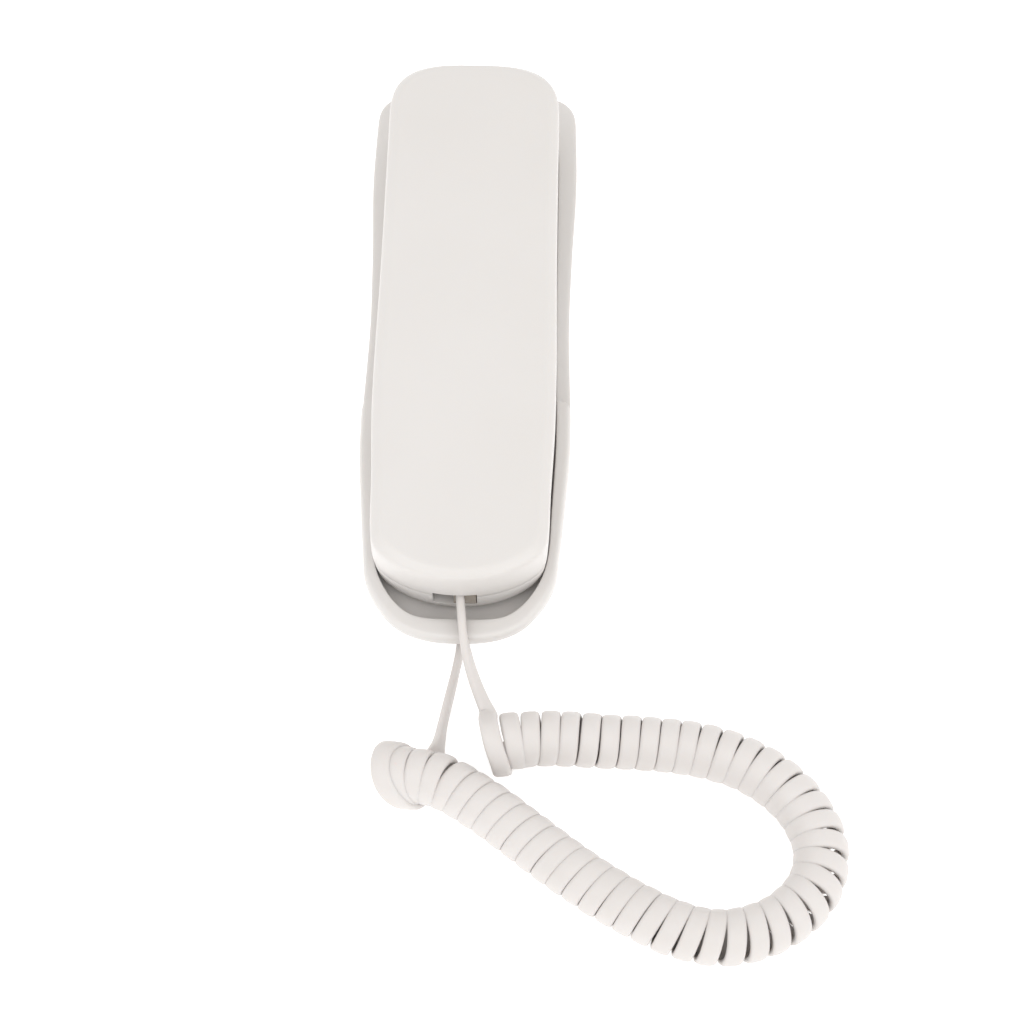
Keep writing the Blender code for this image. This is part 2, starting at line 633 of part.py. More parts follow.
def build_jack(name, x, mouth_y, z, plastic):
    """Cord socket: a box open at its mouth, deeper than the plug."""
    width = SLOT_WIDTH + 2 * JACK_WALL
    low = z - 0.5 * SLOT_HEIGHT
    high = z + 0.5 * SLOT_HEIGHT
    middle = mouth_y + 0.5 * JACK_DEPTH
    box = block(x, middle, width, JACK_DEPTH, low - JACK_WALL, high + JACK_WALL)
    socket = make_object(name, box, plastic)
    cavity = block(x, middle - JACK_END, SLOT_WIDTH, JACK_DEPTH, low, high)
    return combine(socket, 'DIFFERENCE', [cavity])


def build_line_jack(plastic):
    """Wall-line socket facing the receiver end."""
    y = BASE_HEAD - BASE_WALL - HEAD_DRAFT - GAP - 0.5 * LINE_JACK_DEPTH
    low = PLATE_TOP + GAP
    box = block(0.0, y, LINE_JACK_WIDTH, LINE_JACK_DEPTH, low, CEILING - GAP)
    jack = make_object("line_jack", box, plastic)
    cavity = block(0.0, y + 1.5 * MM, LINE_OPENING[0], LINE_JACK_DEPTH, LINE_OPENING_BOTTOM + GAP,
                   LINE_OPENING_BOTTOM + LINE_OPENING[1])
    return combine(jack, 'DIFFERENCE', [cavity])


def helix_spring(x, y, bottom, top, steel):
    """Round-wire compression spring, modelled as one closed tube."""
    builder = bmesh.new()
    around, sides = 10, 6
    count = SPRING_TURNS * around
    loops = []
    for step in range(count + 1):
        turn = 2.0 * math.pi * step / around
        centre = Vector((x + SPRING_RADIUS * math.cos(turn), y + SPRING_RADIUS * math.sin(turn),
                         bottom + SPRING_WIRE + (top - bottom - 2.0 * SPRING_WIRE) * step / count))
        outward = Vector((math.cos(turn), math.sin(turn), 0.0))
        loop = []
        for side in range(sides):
            angle = 2.0 * math.pi * side / sides
            away = outward * math.cos(angle) + Vector((0.0, 0.0, math.sin(angle)))
            loop.append(builder.verts.new(centre + SPRING_WIRE * away))
        loops.append(loop)
    for first, second in zip(loops, loops[1:]):
        for index in range(sides):
            following = (index + 1) % sides
            builder.faces.new((first[index], first[following], second[following], second[index]))
    builder.faces.new(loops[0])
    builder.faces.new(loops[-1][::-1])
    return make_object("hook_spring", builder, steel)


def build_hook_switch(dark, white, steel):
    """Switch housing on the board, the plunger caught in its well, and the spring inside the plunger."""
    flange = PLUNGER_RADIUS + 0.6 * MM
    well = flange + RUNNING_GAP
    bottom = BOARD_TOP + GAP
    top = CEILING - GAP
    floor = bottom + 0.8 * MM
    size = 2.0 * (well + 1.2 * MM)
    housing = block(PLUNGER_X, PLUNGER_Y, size, size, bottom, top, 1.0 * MM)
    body = make_object("hook_switch_body", housing, dark)
    combine(body, 'DIFFERENCE', [drum(PLUNGER_X, PLUNGER_Y, well, floor, top + 1.0 * MM, 16)])
    inner = SPRING_RADIUS + SPRING_WIRE + RUNNING_GAP
    stem = floor + RUNNING_GAP
    flange_top = CEILING - PLUNGER_STOP - PLUNGER_TRAVEL
    inner_top = PLUNGER_TOP - 1.6 * MM
    shape = [(0.0, inner_top), (inner, inner_top), (inner, stem), (flange, stem), (flange, flange_top),
             (PLUNGER_RADIUS, flange_top), (PLUNGER_RADIUS, PLUNGER_TOP - 0.6 * MM),
             (PLUNGER_RADIUS - 0.6 * MM, PLUNGER_TOP), (0.0, PLUNGER_TOP)]
    plunger = make_object("hook_switch_plunger", turned(0.0, 0.0, shape, 16), white,
                          (PLUNGER_X, PLUNGER_Y, 0.0))
    spring = helix_spring(PLUNGER_X, PLUNGER_Y, floor + GAP, inner_top - GAP, steel)
    return [body, plunger, spring]


def build_lug(white):
    """Lug that the handset hangs from when the phone is on a wall; its foot is caught under the tray."""
    foot = rectangle(0.0, LUG_Y, LUG_WIDTH + 3.0 * MM, LUG_THICKNESS + 2.0 * MM)
    stem = rectangle(0.0, LUG_Y, LUG_WIDTH, LUG_THICKNESS)
    tip = rectangle(0.0, LUG_Y, LUG_WIDTH - 1.6 * MM, LUG_THICKNESS - 0.4 * MM)
    under = CEILING - GAP
    sections = [(foot, under - 1.6 * MM), (foot, under), (stem, under), (stem, HANDSET_FACE + 0.6 * MM),
                (tip, HANDSET_INSIDE - 0.2 * MM)]
    return make_object("handset_hook_tab", stack(sections), white)


def build_knob(name, side, dark):
    """Slide knob in the receiver end's wall, with a flange behind the wall."""
    width, height = KNOB_SIZE
    outer = BASE_HEAD - 0.1 * MM
    flange_face = BASE_HEAD - BASE_WALL - HEAD_DRAFT - KNOB_SETBACK
    flange_back = flange_face - KNOB_FLANGE
    half = 0.5 * height
    stem = block(0.0, 0.5 * (outer + flange_back), width, outer - flange_back, KNOB_Z - half, KNOB_Z + half)
    flange_width = width + 2.0 * (KNOB_TRAVEL + 0.8 * MM)
    flange = block(0.0, 0.5 * (flange_face + flange_back), flange_width, KNOB_FLANGE,
                   KNOB_Z - half - KNOB_FLANGE, KNOB_Z + half + KNOB_FLANGE)
    knob = make_object(name, stem, dark, (side * KNOB_X, 0.0, 0.0))
    return combine(knob, 'UNION', [flange])


def build_base_board(material):
    """Circuit board between the two wall hangers, with room for a stud's head where it reaches one."""
    upper = PLUNGER_Y + PLUNGER_RADIUS + 1.0 * MM
    lower = KEYHOLE_RUN - 0.5 * KEYHOLE_SPACING + 2.0 * MM
    bottom = BOARD_TOP - BOARD_THICKNESS
    plan = block(0.0, 0.5 * (upper + lower), BOARD_WIDTH, upper - lower, bottom, BOARD_TOP)
    board = make_object("base_circuit_board", plan, material)
    run = KEYHOLE_RUN + KEYHOLE_RADIUS
    room = block(0.0, 0.5 * (KEYHOLE_SPACING + run - KEYHOLE_RADIUS), 2.0 * KEYHOLE_RADIUS + 3.0 * MM,
                 run + KEYHOLE_RADIUS, bottom - 1.0 * MM, BOARD_TOP + 1.0 * MM)
    return combine(board, 'DIFFERENCE', [room])


def build_base(materials):
    white, dark, steel, rubber = (materials[key] for key in ("white", "dark", "steel", "rubber"))
    pieces = [build_base_shell(white), build_back_plate(white)]
    for number, (x, y) in enumerate(plate_post_places(), 1):
        pieces.append(build_screw("base_screw_%d" % number, x, y, BASE_BOTTOM + PLATE_SHOULDER,
                                  BASE_SCREW_LENGTH, steel))
    for number, (x, y) in enumerate(foot_places(), 1):
        tread = circle(x, y, FOOT_RADIUS - 0.5 * MM, 16)
        pad = circle(x, y, FOOT_RADIUS, 16)
        foot = stack([(tread, 0.0), (pad, 0.5 * MM), (pad, FOOT_HEIGHT)])
        pieces.append(make_object("rubber_foot_%d" % number, foot, rubber))
    pieces.append(build_base_board(materials["board"]))
    ringer_y = BASE_JACK_MOUTH + JACK_DEPTH + RINGER_RADIUS + 2.0 * MM
    low = PLATE_TOP + 0.6 * MM
    pieces.append(make_object("ringer_speaker", turned(0.0, ringer_y, [
        (0.0, low), (0.6 * RINGER_RADIUS, low), (0.6 * RINGER_RADIUS, low + 3.4 * MM),
        (RINGER_RADIUS, low + 4.4 * MM), (RINGER_RADIUS, low + 6.4 * MM), (0.0, low + 6.4 * MM)], 20), dark))
    pieces += build_hook_switch(dark, white, steel)
    pieces.append(build_line_jack(dark))
    pieces.append(build_jack("base_cord_jack", BASE_SLOT_X, BASE_JACK_MOUTH, BASE_SLOT_Z, white))
    pieces.append(build_plug("base_plug", BASE_SLOT_X, BASE_TOE + BASE_PLUG_INSET, BASE_SLOT_Z,
                             materials["clear"]))
    pieces.append(build_lug(white))
    pieces.append(build_knob("ringer_volume_knob", -1.0, dark))
    pieces.append(build_knob("tone_pulse_knob", 1.0, dark))
    return pieces


# ---------------------------------------------------------------- handset

def below_top(drop):
    return lambda y: handset_top(y) - drop


def build_outer_shell(white):
    wall = HANDSET_WALL
    rings = [
        handset_ring(wall, (1.8 * MM, 2.4 * MM, 1.4 * MM), below_top(wall)),
        handset_ring(wall, (0.2 * MM, 0.6 * MM, 0.0), below_top(wall + 2.0 * MM)),
        handset_ring(wall, SPLIT_INSETS, HANDSET_SPLIT),
        handset_ring(0.0, SPLIT_INSETS, HANDSET_SPLIT),
        handset_ring(0.0, BULGE_INSETS, HANDSET_BULGE),
    ]
    for side, toe, head, drop in map(in_metres, COVER_RINGS):
        rings.append(handset_ring(0.0, (side, toe, head), below_top(drop)))
    shell = make_object("handset_outer_shell", loft(rings), white)
    places = (UPPER_SCREW_Y, LOWER_SCREW_Y)
    posts = [drum(0.0, y, POST_RADIUS, HANDSET_INSIDE + HANDSET_SHOULDER, handset_top(y) - 0.5 * wall, 12)
             for y in places]
    combine(shell, 'UNION', posts)
    hole_top = HANDSET_INSIDE + HANDSET_SCREW_LENGTH + 1.0 * MM
    cuts = [drum(0.0, y, SCREW_RADIUS + GAP, HANDSET_INSIDE, hole_top, 8) for y in places]
    cuts.append(socket_slot(HANDSET_SLOT_X, HANDSET_TOE, HANDSET_JACK_MOUTH, HANDSET_SLOT_Z))
    return combine(shell, 'DIFFERENCE', cuts)


def key_places():
    """Name and centre of each key, row by row from the receiver end."""
    places = []
    for row, names in enumerate(KEY_ROWS):
        y = KEYPAD_TOP - ROW_PITCH * (row + 0.5)
        for column, name in enumerate(names):
            # The keypad is on the handset's underside here, so its left column lies at +X.
            places.append((name, (1 - column) * KEY_COLUMN_PITCH, y))
    return places


def build_inner_shell(white):
    wall = HANDSET_WALL
    top = HANDSET_SPLIT - GAP
    rings = [
        handset_ring(wall, (1.4 * MM, 3.2 * MM, 1.8 * MM), HANDSET_INSIDE),
        handset_ring(wall, (0.4 * MM, 1.5 * MM, 0.8 * MM), top),
        handset_ring(0.0, (0.35 * MM, 1.5 * MM, 0.8 * MM), top),
    ]
    for side, toe, head, rise in map(in_metres, FACE_RINGS):
        rings.append(handset_ring(0.0, (side, toe, head), HANDSET_FACE + rise))
    shell = make_object("handset_inner_shell", loft(rings), white)
    ear = RECEIVER_RING
    face = HANDSET_FACE
    low = face - RECEIVER_DROP
    root = face + 0.7 * MM
    ear_ring = turned(0.0, RECEIVER_Y, [
        (0.0, root), (ear, root), (ear, low + 0.8 * MM), (ear - 0.8 * MM, low), (ear - 3.5 * MM, low),
        (0.0, face - 1.0 * MM)], 32)
    mouth, mouth_low = MIC_RING_RADIUS, face - MIC_DROP
    mouth_ring = turned(0.0, MIC_Y, [
        (0.0, root), (mouth, root), (mouth, mouth_low + 0.6 * MM), (mouth - 0.6 * MM, mouth_low),
        (0.0, mouth_low)], 24)
    bosses = [drum(0.0, y, POST_RADIUS, face + 0.5 * MM, HANDSET_INSIDE + 1.5 * MM, 12)
              for y in (UPPER_SCREW_Y, LOWER_SCREW_Y)]
    combine(shell, 'UNION', [ear_ring, mouth_ring] + bosses)
    room = 2 * RUNNING_GAP
    low, high = face - 1.0 * MM, HANDSET_INSIDE + 0.4 * MM
    cuts = [block(x, y, KEY_WIDTH + room, KEY_HEIGHT + room, low, high, 1.4 * MM)
            for name, x, y in key_places()]
    for y in (UPPER_SCREW_Y, LOWER_SCREW_Y):
        cuts.append(screw_hole(0.0, y, face - 1.0 * MM, face + HANDSET_SHOULDER, HANDSET_INSIDE + 2.5 * MM))
    cuts.append(block(0.0, LUG_Y, LUG_WIDTH + 2 * RUNNING_GAP, LUG_THICKNESS + 2 * RUNNING_GAP,
                      face - RECEIVER_DROP - 1.0 * MM, HANDSET_INSIDE + 1.0 * MM))
    cuts.append(socket_slot(HANDSET_SLOT_X, HANDSET_TOE, HANDSET_JACK_MOUTH, HANDSET_SLOT_Z))
    return combine(shell, 'DIFFERENCE', cuts)


def build_key(name, x, y, plastic):
    """Key cap with the flange that keeps it in the casing, its origin in the middle of its face."""
    face = HANDSET_FACE - KEY_PROUD
    cap = rectangle(0.0, 0.0, KEY_WIDTH, KEY_HEIGHT, 1.2 * MM)
    crown = rectangle(0.0, 0.0, KEY_WIDTH - 1.0 * MM, KEY_HEIGHT - 1.0 * MM, 1.0 * MM)
    flange = rectangle(0.0, 0.0, KEY_WIDTH + 2 * KEY_FLANGE, KEY_HEIGHT + 2 * KEY_FLANGE, 1.2 * MM)
    sections = [(crown, 0.0), (cap, 0.5 * MM), (cap, KEY_FLANGE_BOTTOM - face),
                (flange, KEY_FLANGE_BOTTOM - face), (flange, KEY_FLANGE_TOP - face)]
    return make_object("key_" + name, stack(sections), plastic, (x, y, face))


def build_handset(materials):
    white, dark, steel = (materials[key] for key in ("white", "dark", "steel"))
    inside = HANDSET_INSIDE + GAP
    pieces = [build_outer_shell(white), build_inner_shell(white)]
    capsule = RECEIVER_RING - 2.5 * MM
    pieces.append(make_object("receiver_capsule", turned(0.0, RECEIVER_Y, [
        (0.0, inside), (capsule, inside), (capsule, inside + 0.6 * RECEIVER_DEPTH),
        (0.6 * capsule, inside + 0.7 * RECEIVER_DEPTH), (0.6 * capsule, inside + RECEIVER_DEPTH),
        (0.0, inside + RECEIVER_DEPTH)], 24), dark))
    microphone = drum(0.0, MIC_Y, MIC_RADIUS, inside, inside + MIC_DEPTH, 16)
    pieces.append(make_object("microphone_capsule", microphone, steel))
    boot_inner = MIC_RADIUS + GAP
    boot_outer = boot_inner + 2.2 * MM
    boot_top = inside + MIC_DEPTH + 0.6 * MM
    pieces.append(make_object("microphone_boot", turned(0.0, MIC_Y, [
        (boot_inner, inside), (boot_outer, inside), (boot_outer, boot_top), (boot_inner, boot_top)], 16),
                              materials["rubber"]))
    pad_y = 0.5 * (KEYPAD_TOP + KEYPAD_BOTTOM)
    pad_width = 2.0 * KEY_COLUMN_PITCH + KEY_WIDTH + 1.5 * MM
    pad_depth = KEYPAD_TOP - KEYPAD_BOTTOM
    mat = block(0.0, pad_y, pad_width, pad_depth, MAT_BOTTOM, MAT_BOTTOM + MAT_THICKNESS, 2.0 * MM)
    pieces.append(make_object("keypad_membrane", mat, materials["rubber"]))
    board = block(0.0, pad_y, pad_width + 1.0 * MM, pad_depth, BOARD_BOTTOM,
                  BOARD_BOTTOM + BOARD_THICKNESS, 2.0 * MM)
    pieces.append(make_object("keypad_board", board, materials["board"]))
    weight_bottom = HANDSET_SLOT_Z + 0.5 * SLOT_HEIGHT + JACK_WALL + WEIGHT_GAP
    weight = block(0.0, MIC_Y + WEIGHT_SHIFT, WEIGHT_SIZE[0], WEIGHT_SIZE[1], weight_bottom,
                   weight_bottom + WEIGHT_SIZE[2], 1.0 * MM)
    pieces.append(make_object("handset_weight", weight, steel))
    pieces.append(build_jack("handset_cord_jack", HANDSET_SLOT_X, HANDSET_JACK_MOUTH, HANDSET_SLOT_Z,
                             white))
    pieces.append(build_plug("handset_plug", HANDSET_SLOT_X, HANDSET_TOE + HANDSET_PLUG_INSET, HANDSET_SLOT_Z,
                             materials["clear"]))
    for number, y in enumerate((UPPER_SCREW_Y, LOWER_SCREW_Y), 1):
        pieces.append(build_screw("handset_screw_%d" % number, 0.0, y, HANDSET_FACE + HANDSET_SHOULDER,
                                  HANDSET_SCREW_LENGTH, steel))
    for name, x, y in key_places():
        pieces.append(build_key(name, x, y, materials["key"]))
    return pieces


# ---------------------------------------------------------------- cord

def build_cord(cord):
    coil_points = smooth_route([(x * MM, y * MM, COIL_AXIS_Z) for x, y in COIL_ROUTE], 5.0 * MM)
    handset_lead = smooth_route([(x * MM, y * MM, z * MM) for x, y, z in HANDSET_LEAD_ROUTE], 1.6 * MM)
    base_lead = smooth_route([(x * MM, y * MM, z * MM) for x, y, z in BASE_LEAD_ROUTE], 1.8 * MM)
    return [tube("cord_coil", coil_points, COIL_DIAMETER, 4, cord),
            tube("cord_handset_lead", handset_lead, LEAD_DIAMETER, 2, cord),
            tube("cord_base_lead", base_lead, LEAD_DIAMETER, 2, cord)]


def add_empty(name):
    """Point that a group of pieces hangs from, on the axis that the group moves along."""
    empty = bpy.data.objects.new(name, None)
    bpy.context.scene.collection.objects.link(empty)
    return empty


def main():
    for piece in list(bpy.data.objects):
        bpy.data.objects.remove(piece, do_unlink=True)
    materials = {
        "white": make_material("white_plastic", (0.80, 0.78, 0.75), 0.35),
        "key": make_material("key_plastic", (0.74, 0.72, 0.69), 0.4),
        "dark": make_material("dark_plastic", (0.08, 0.08, 0.08), 0.5),
        "steel": make_material("steel", (0.6, 0.6, 0.6), 0.35, 1.0),
        "rubber": make_material("rubber", (0.12, 0.12, 0.12), 0.8),
        "board": make_material("circuit_board", (0.1, 0.28, 0.14), 0.5),
        "clear": make_material("clear_plastic", (0.82, 0.80, 0.74), 0.1),
        "cord": make_material("cord_vinyl", (0.80, 0.78, 0.75), 0.45),
    }
    base_group = add_empty("base_group")
    handset_group = add_empty("handset_group")
    for piece in build_base(materials) + build_cord(materials["cord"]):
        piece.parent = base_group
    for piece in build_handset(materials):
        piece.parent = handset_group


main()
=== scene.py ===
import math

import bmesh
import bpy
import numpy as np
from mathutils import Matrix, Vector


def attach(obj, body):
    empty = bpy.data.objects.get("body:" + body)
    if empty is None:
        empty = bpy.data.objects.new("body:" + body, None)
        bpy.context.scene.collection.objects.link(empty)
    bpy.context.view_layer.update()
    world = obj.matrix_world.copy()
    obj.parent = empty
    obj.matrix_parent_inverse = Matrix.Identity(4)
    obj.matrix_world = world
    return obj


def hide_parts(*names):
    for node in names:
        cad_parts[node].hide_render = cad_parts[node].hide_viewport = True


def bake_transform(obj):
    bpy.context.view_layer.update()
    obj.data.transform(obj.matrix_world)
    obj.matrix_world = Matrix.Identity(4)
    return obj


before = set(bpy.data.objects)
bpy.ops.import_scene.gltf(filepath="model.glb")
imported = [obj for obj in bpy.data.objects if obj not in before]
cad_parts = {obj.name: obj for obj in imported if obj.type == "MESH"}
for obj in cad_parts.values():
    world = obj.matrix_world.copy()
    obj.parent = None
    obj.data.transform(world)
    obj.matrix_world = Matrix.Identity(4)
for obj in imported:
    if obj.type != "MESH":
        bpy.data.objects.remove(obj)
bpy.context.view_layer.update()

MM = 0.001

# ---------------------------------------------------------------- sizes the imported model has

HANDSET_LENGTH = 167.8 * MM
HANDSET_WIDTH = 48.9 * MM
HANDSET_TOE_TOP = 38.0 * MM
HANDSET_HEAD_TOP = 43.0 * MM
HANDSET_CROWN = 0.7 * MM
HANDSET_FACE = 16.3 * MM
HANDSET_SPLIT = 24.0 * MM
HANDSET_WALL = 2.0 * MM
HANDSET_INSIDE = 18.1 * MM
HANDSET_WAIST = [(0.0, -4.0), (0.075, -1.24), (0.18, -0.6), (0.32, 0.35), (0.6, 0.0), (1.0, 0.0)]
BASE_TOE = -94.0 * MM
BASE_HEAD = 94.0 * MM
HANDSET_TOE = -85.3 * MM
HANDSET_HEAD = 82.5 * MM
BAY_MARGIN = 0.35 * MM
RIM_WIDTHS = [(0.0, 4.2), (0.12, 2.4), (0.2, 3.3), (0.3, 3.9), (0.39, 3.95), (0.46, 3.7), (0.55, 3.6),
              (0.68, 4.3), (0.81, 5.3), (0.93, 5.0), (1.0, 4.6)]
BASE_BOTTOM = 1.2 * MM
BASE_WALL = 2.2 * MM
CEILING = 11.8 * MM
TRAY_FLOOR = 14.0 * MM
DECK_TOP = 15.2 * MM
RIM_TOP = 20.0 * MM
PLATE_TOP = 3.2 * MM
SHOULDER_Y = -18.5 * MM
SHOULDER_ROUND = 4.0 * MM
RECEIVER_Y = 56.5 * MM
RECEIVER_RING = 18.45 * MM
RECEIVER_DROP = 2.5 * MM
MIC_Y = -57.3 * MM
MIC_RING = 11.0 * MM
MIC_DROP = 1.6 * MM
UPPER_SCREW_Y = 32.85 * MM
LOWER_SCREW_Y = -41.1 * MM
LUG_Y = 77.35 * MM
PLUNGER = (9.0 * MM, 32.85 * MM, 2.8 * MM)
KEY_SIZE = (9.5 * MM, 7.0 * MM)
KEY_PROUD = 1.2 * MM
SLOT = (11.7 * MM, 8.2 * MM)
HANDSET_SLOT = (-1.0 * MM, 23.3 * MM)
BASE_SLOT = (0.6 * MM, 6.55 * MM)
LINE_SOCKET = (0.0 * MM, 7.3 * MM, 10.0 * MM, 6.6 * MM)
KNOB_X = 13.6 * MM
KNOB_WINDOW = (7.5 * MM, 7.8 * MM, 3.8 * MM)
KEYHOLE_Y = 42.85 * MM
KEYHOLE_NECK = 4.8 * MM
KEYHOLE_RADIUS = 4.6 * MM
KEYHOLE_RUN = 9.0 * MM
# Rows of feet and of plate screws: place along the base and distance in from its edge
FOOT_ROWS = ((58.0 * MM, 10.5 * MM), (-66.0 * MM, 12.0 * MM))
PLATE_SCREW_ROWS = ((72.0 * MM, 9.0 * MM), (-56.0 * MM, 8.0 * MM))
KEY_COLUMN_PITCH = 13.0 * MM

# ---------------------------------------------------------------- camera


def set_camera():
    data = bpy.data.cameras.new("photo_view")
    data.lens = 84.4
    data.sensor_width = 36.0
    data.clip_start = 0.01
    data.clip_end = 20.0
    camera = bpy.data.objects.new("photo_view", data)
    camera.location = (20.54 * MM, -379.64 * MM, 582.0 * MM)
    camera.rotation_euler = (math.radians(30.0), 0.0, math.radians(1.25))
    bpy.context.scene.collection.objects.link(camera)
    bpy.context.scene.camera = camera


set_camera()


# ---------------------------------------------------------------- materials

def node_material(name):
    material = bpy.data.materials.new(name)
    material.use_nodes = True
    tree = material.node_tree
    shader = tree.nodes["Principled BSDF"]
    place = tree.nodes.new("ShaderNodeTexCoord")
    return material, tree, shader, place.outputs["Object"]


def noise(tree, place, scale, detail=2.0, rough=0.5, stretch=None):
    source = place
    if stretch is not None:
        mapping = tree.nodes.new("ShaderNodeMapping")
        mapping.inputs["Scale"].default_value = stretch
        tree.links.new(place, mapping.inputs["Vector"])
        source = mapping.outputs["Vector"]
    texture = tree.nodes.new("ShaderNodeTexNoise")
    texture.inputs["Scale"].default_value = scale
    texture.inputs["Detail"].default_value = detail
    texture.inputs["Roughness"].default_value = rough
    tree.links.new(source, texture.inputs["Vector"])
    return texture.outputs["Fac"]


def spread(tree, value, low, high, start=0.3, stop=0.7):
    limits = tree.nodes.new("ShaderNodeMapRange")
    limits.inputs["From Min"].default_value = start
    limits.inputs["From Max"].default_value = stop
    limits.inputs["To Min"].default_value = low
    limits.inputs["To Max"].default_value = high
    tree.links.new(value, limits.inputs["Value"])
    return limits.outputs["Result"]


def two_tone(tree, factor, first, second):
    mix = tree.nodes.new("ShaderNodeMix")
    mix.data_type = 'RGBA'
    mix.inputs["A"].default_value = (*first, 1.0)
    mix.inputs["B"].default_value = (*second, 1.0)
    tree.links.new(factor, mix.inputs["Factor"])
    return mix.outputs["Result"]


def bump(tree, shader, layers):
    """Stack bump layers of (height, strength, distance in metres) onto the shader's normal."""
    normal = None
    for height, strength, distance in layers:
        layer = tree.nodes.new("ShaderNodeBump")
        layer.inputs["Strength"].default_value = strength
        layer.inputs["Distance"].default_value = distance
        tree.links.new(height, layer.inputs["Height"])
        if normal is not None:
            tree.links.new(normal, layer.inputs["Normal"])
        normal = layer.outputs["Normal"]
    tree.links.new(normal, shader.inputs["Normal"])


def moulded_plastic(name, colour, aged, roughness, grain=2600.0, depth=0.00003, soft=0.0):
    """Moulded plastic: a fine spark-eroded grain, a slow drift in tone and small changes in polish."""
    material, tree, shader, place = node_material(name)
    drift = spread(tree, noise(tree, place, 14.0, 3.0), 0.0, 1.0)
    tree.links.new(two_tone(tree, drift, colour, aged), shader.inputs["Base Color"])
    polish = spread(tree, noise(tree, place, 45.0, 4.0, 0.6), roughness - 0.05, roughness + 0.06)
    tree.links.new(polish, shader.inputs["Roughness"])
    bump(tree, shader, [(noise(tree, place, 60.0, 2.0), 0.12, 0.0001),
                        (noise(tree, place, grain, 2.0), 0.3, depth)])
    shader.inputs["IOR"].default_value = 1.5
    if soft > 0.0:
        shader.inputs["Subsurface Weight"].default_value = soft
        shader.inputs["Subsurface Radius"].default_value = (0.0018, 0.0014, 0.0010)
        shader.inputs["Subsurface Scale"].default_value = 1.0
    return material


def cord_vinyl():
    """Satin vinyl with faint drawing marks and handling dulling."""
    material, tree, shader, place = node_material("cord_vinyl_look")
    drift = spread(tree, noise(tree, place, 35.0, 3.0), 0.0, 1.0)
    tree.links.new(two_tone(tree, drift, (0.635, 0.603, 0.583), (0.600, 0.568, 0.545)),
                   shader.inputs["Base Color"])
    polish = spread(tree, noise(tree, place, 220.0, 3.0), 0.42, 0.56)
    tree.links.new(polish, shader.inputs["Roughness"])
    bump(tree, shader, [(noise(tree, place, 420.0, 2.0), 0.10, 0.0001),
                        (noise(tree, place, 3200.0, 1.0), 0.18, 0.00003)])
    shader.inputs["Subsurface Weight"].default_value = 0.12
    shader.inputs["Subsurface Radius"].default_value = (0.0016, 0.0012, 0.0009)
    shader.inputs["Subsurface Scale"].default_value = 1.0
    return material


def rubber(name, colour):
    material, tree, shader, place = node_material(name)
    worn = spread(tree, noise(tree, place, 160.0, 4.0, 0.65), 0.0, 1.0)
    lighter = tuple(min(1.0, c * 1.35 + 0.01) for c in colour)
    tree.links.new(two_tone(tree, worn, colour, lighter), shader.inputs["Base Color"])
    tree.links.new(spread(tree, worn, 0.72, 0.9, 0.0, 1.0), shader.inputs["Roughness"])
    bump(tree, shader, [(noise(tree, place, 1500.0, 3.0), 0.35, 0.00006)])
    return material


def metal(name, colour, roughness, stretch):
    material, tree, shader, place = node_material(name)
    lines = noise(tree, place, 900.0, 3.0, 0.6, stretch)
    darker = tuple(c * 0.82 for c in colour)
    tree.links.new(two_tone(tree, spread(tree, lines, 0.0, 1.0), colour, darker), shader.inputs["Base Color"])
    tree.links.new(spread(tree, lines, roughness - 0.06, roughness + 0.1), shader.inputs["Roughness"])
    bump(tree, shader, [(lines, 0.2, 0.00002)])
    shader.inputs["Metallic"].default_value = 1.0
    return material


def circuit_board():
    """Green solder mask in two tones of blocks with a grid of lighter lines between them."""
    material, tree, shader, place = node_material("circuit_board_look")
    tracks = tree.nodes.new("ShaderNodeTexBrick")
    tracks.inputs["Scale"].default_value = 190.0
    tracks.inputs["Mortar Size"].default_value = 0.03
    tracks.inputs["Color1"].default_value = (0.03, 0.16, 0.06, 1.0)
    tracks.inputs["Color2"].default_value = (0.04, 0.20, 0.08, 1.0)
    tracks.inputs["Mortar"].default_value = (0.10, 0.34, 0.13, 1.0)
    tree.links.new(place, tracks.inputs["Vector"])
    tree.links.new(tracks.outputs["Color"], shader.inputs["Base Color"])
    tree.links.new(spread(tree, noise(tree, place, 300.0), 0.3, 0.42), shader.inputs["Roughness"])
    bump(tree, shader, [(tracks.outputs["Fac"], 0.3, 0.00004)])
    return material


def clear_plastic():
    """Clear polycarbonate, slightly yellowed, with moulding flow in it."""
    material, tree, shader, place = node_material("clear_plastic_look")
    flow = spread(tree, noise(tree, place, 260.0, 3.0), 0.0, 1.0)
    tree.links.new(two_tone(tree, flow, (0.62, 0.56, 0.49), (0.50, 0.44, 0.38)), shader.inputs["Base Color"])
    tree.links.new(spread(tree, flow, 0.08, 0.2, 0.0, 1.0), shader.inputs["Roughness"])
    bump(tree, shader, [(noise(tree, place, 500.0), 0.15, 0.00005)])
    shader.inputs["Transmission Weight"].default_value = 0.35
    shader.inputs["IOR"].default_value = 1.58
    return material


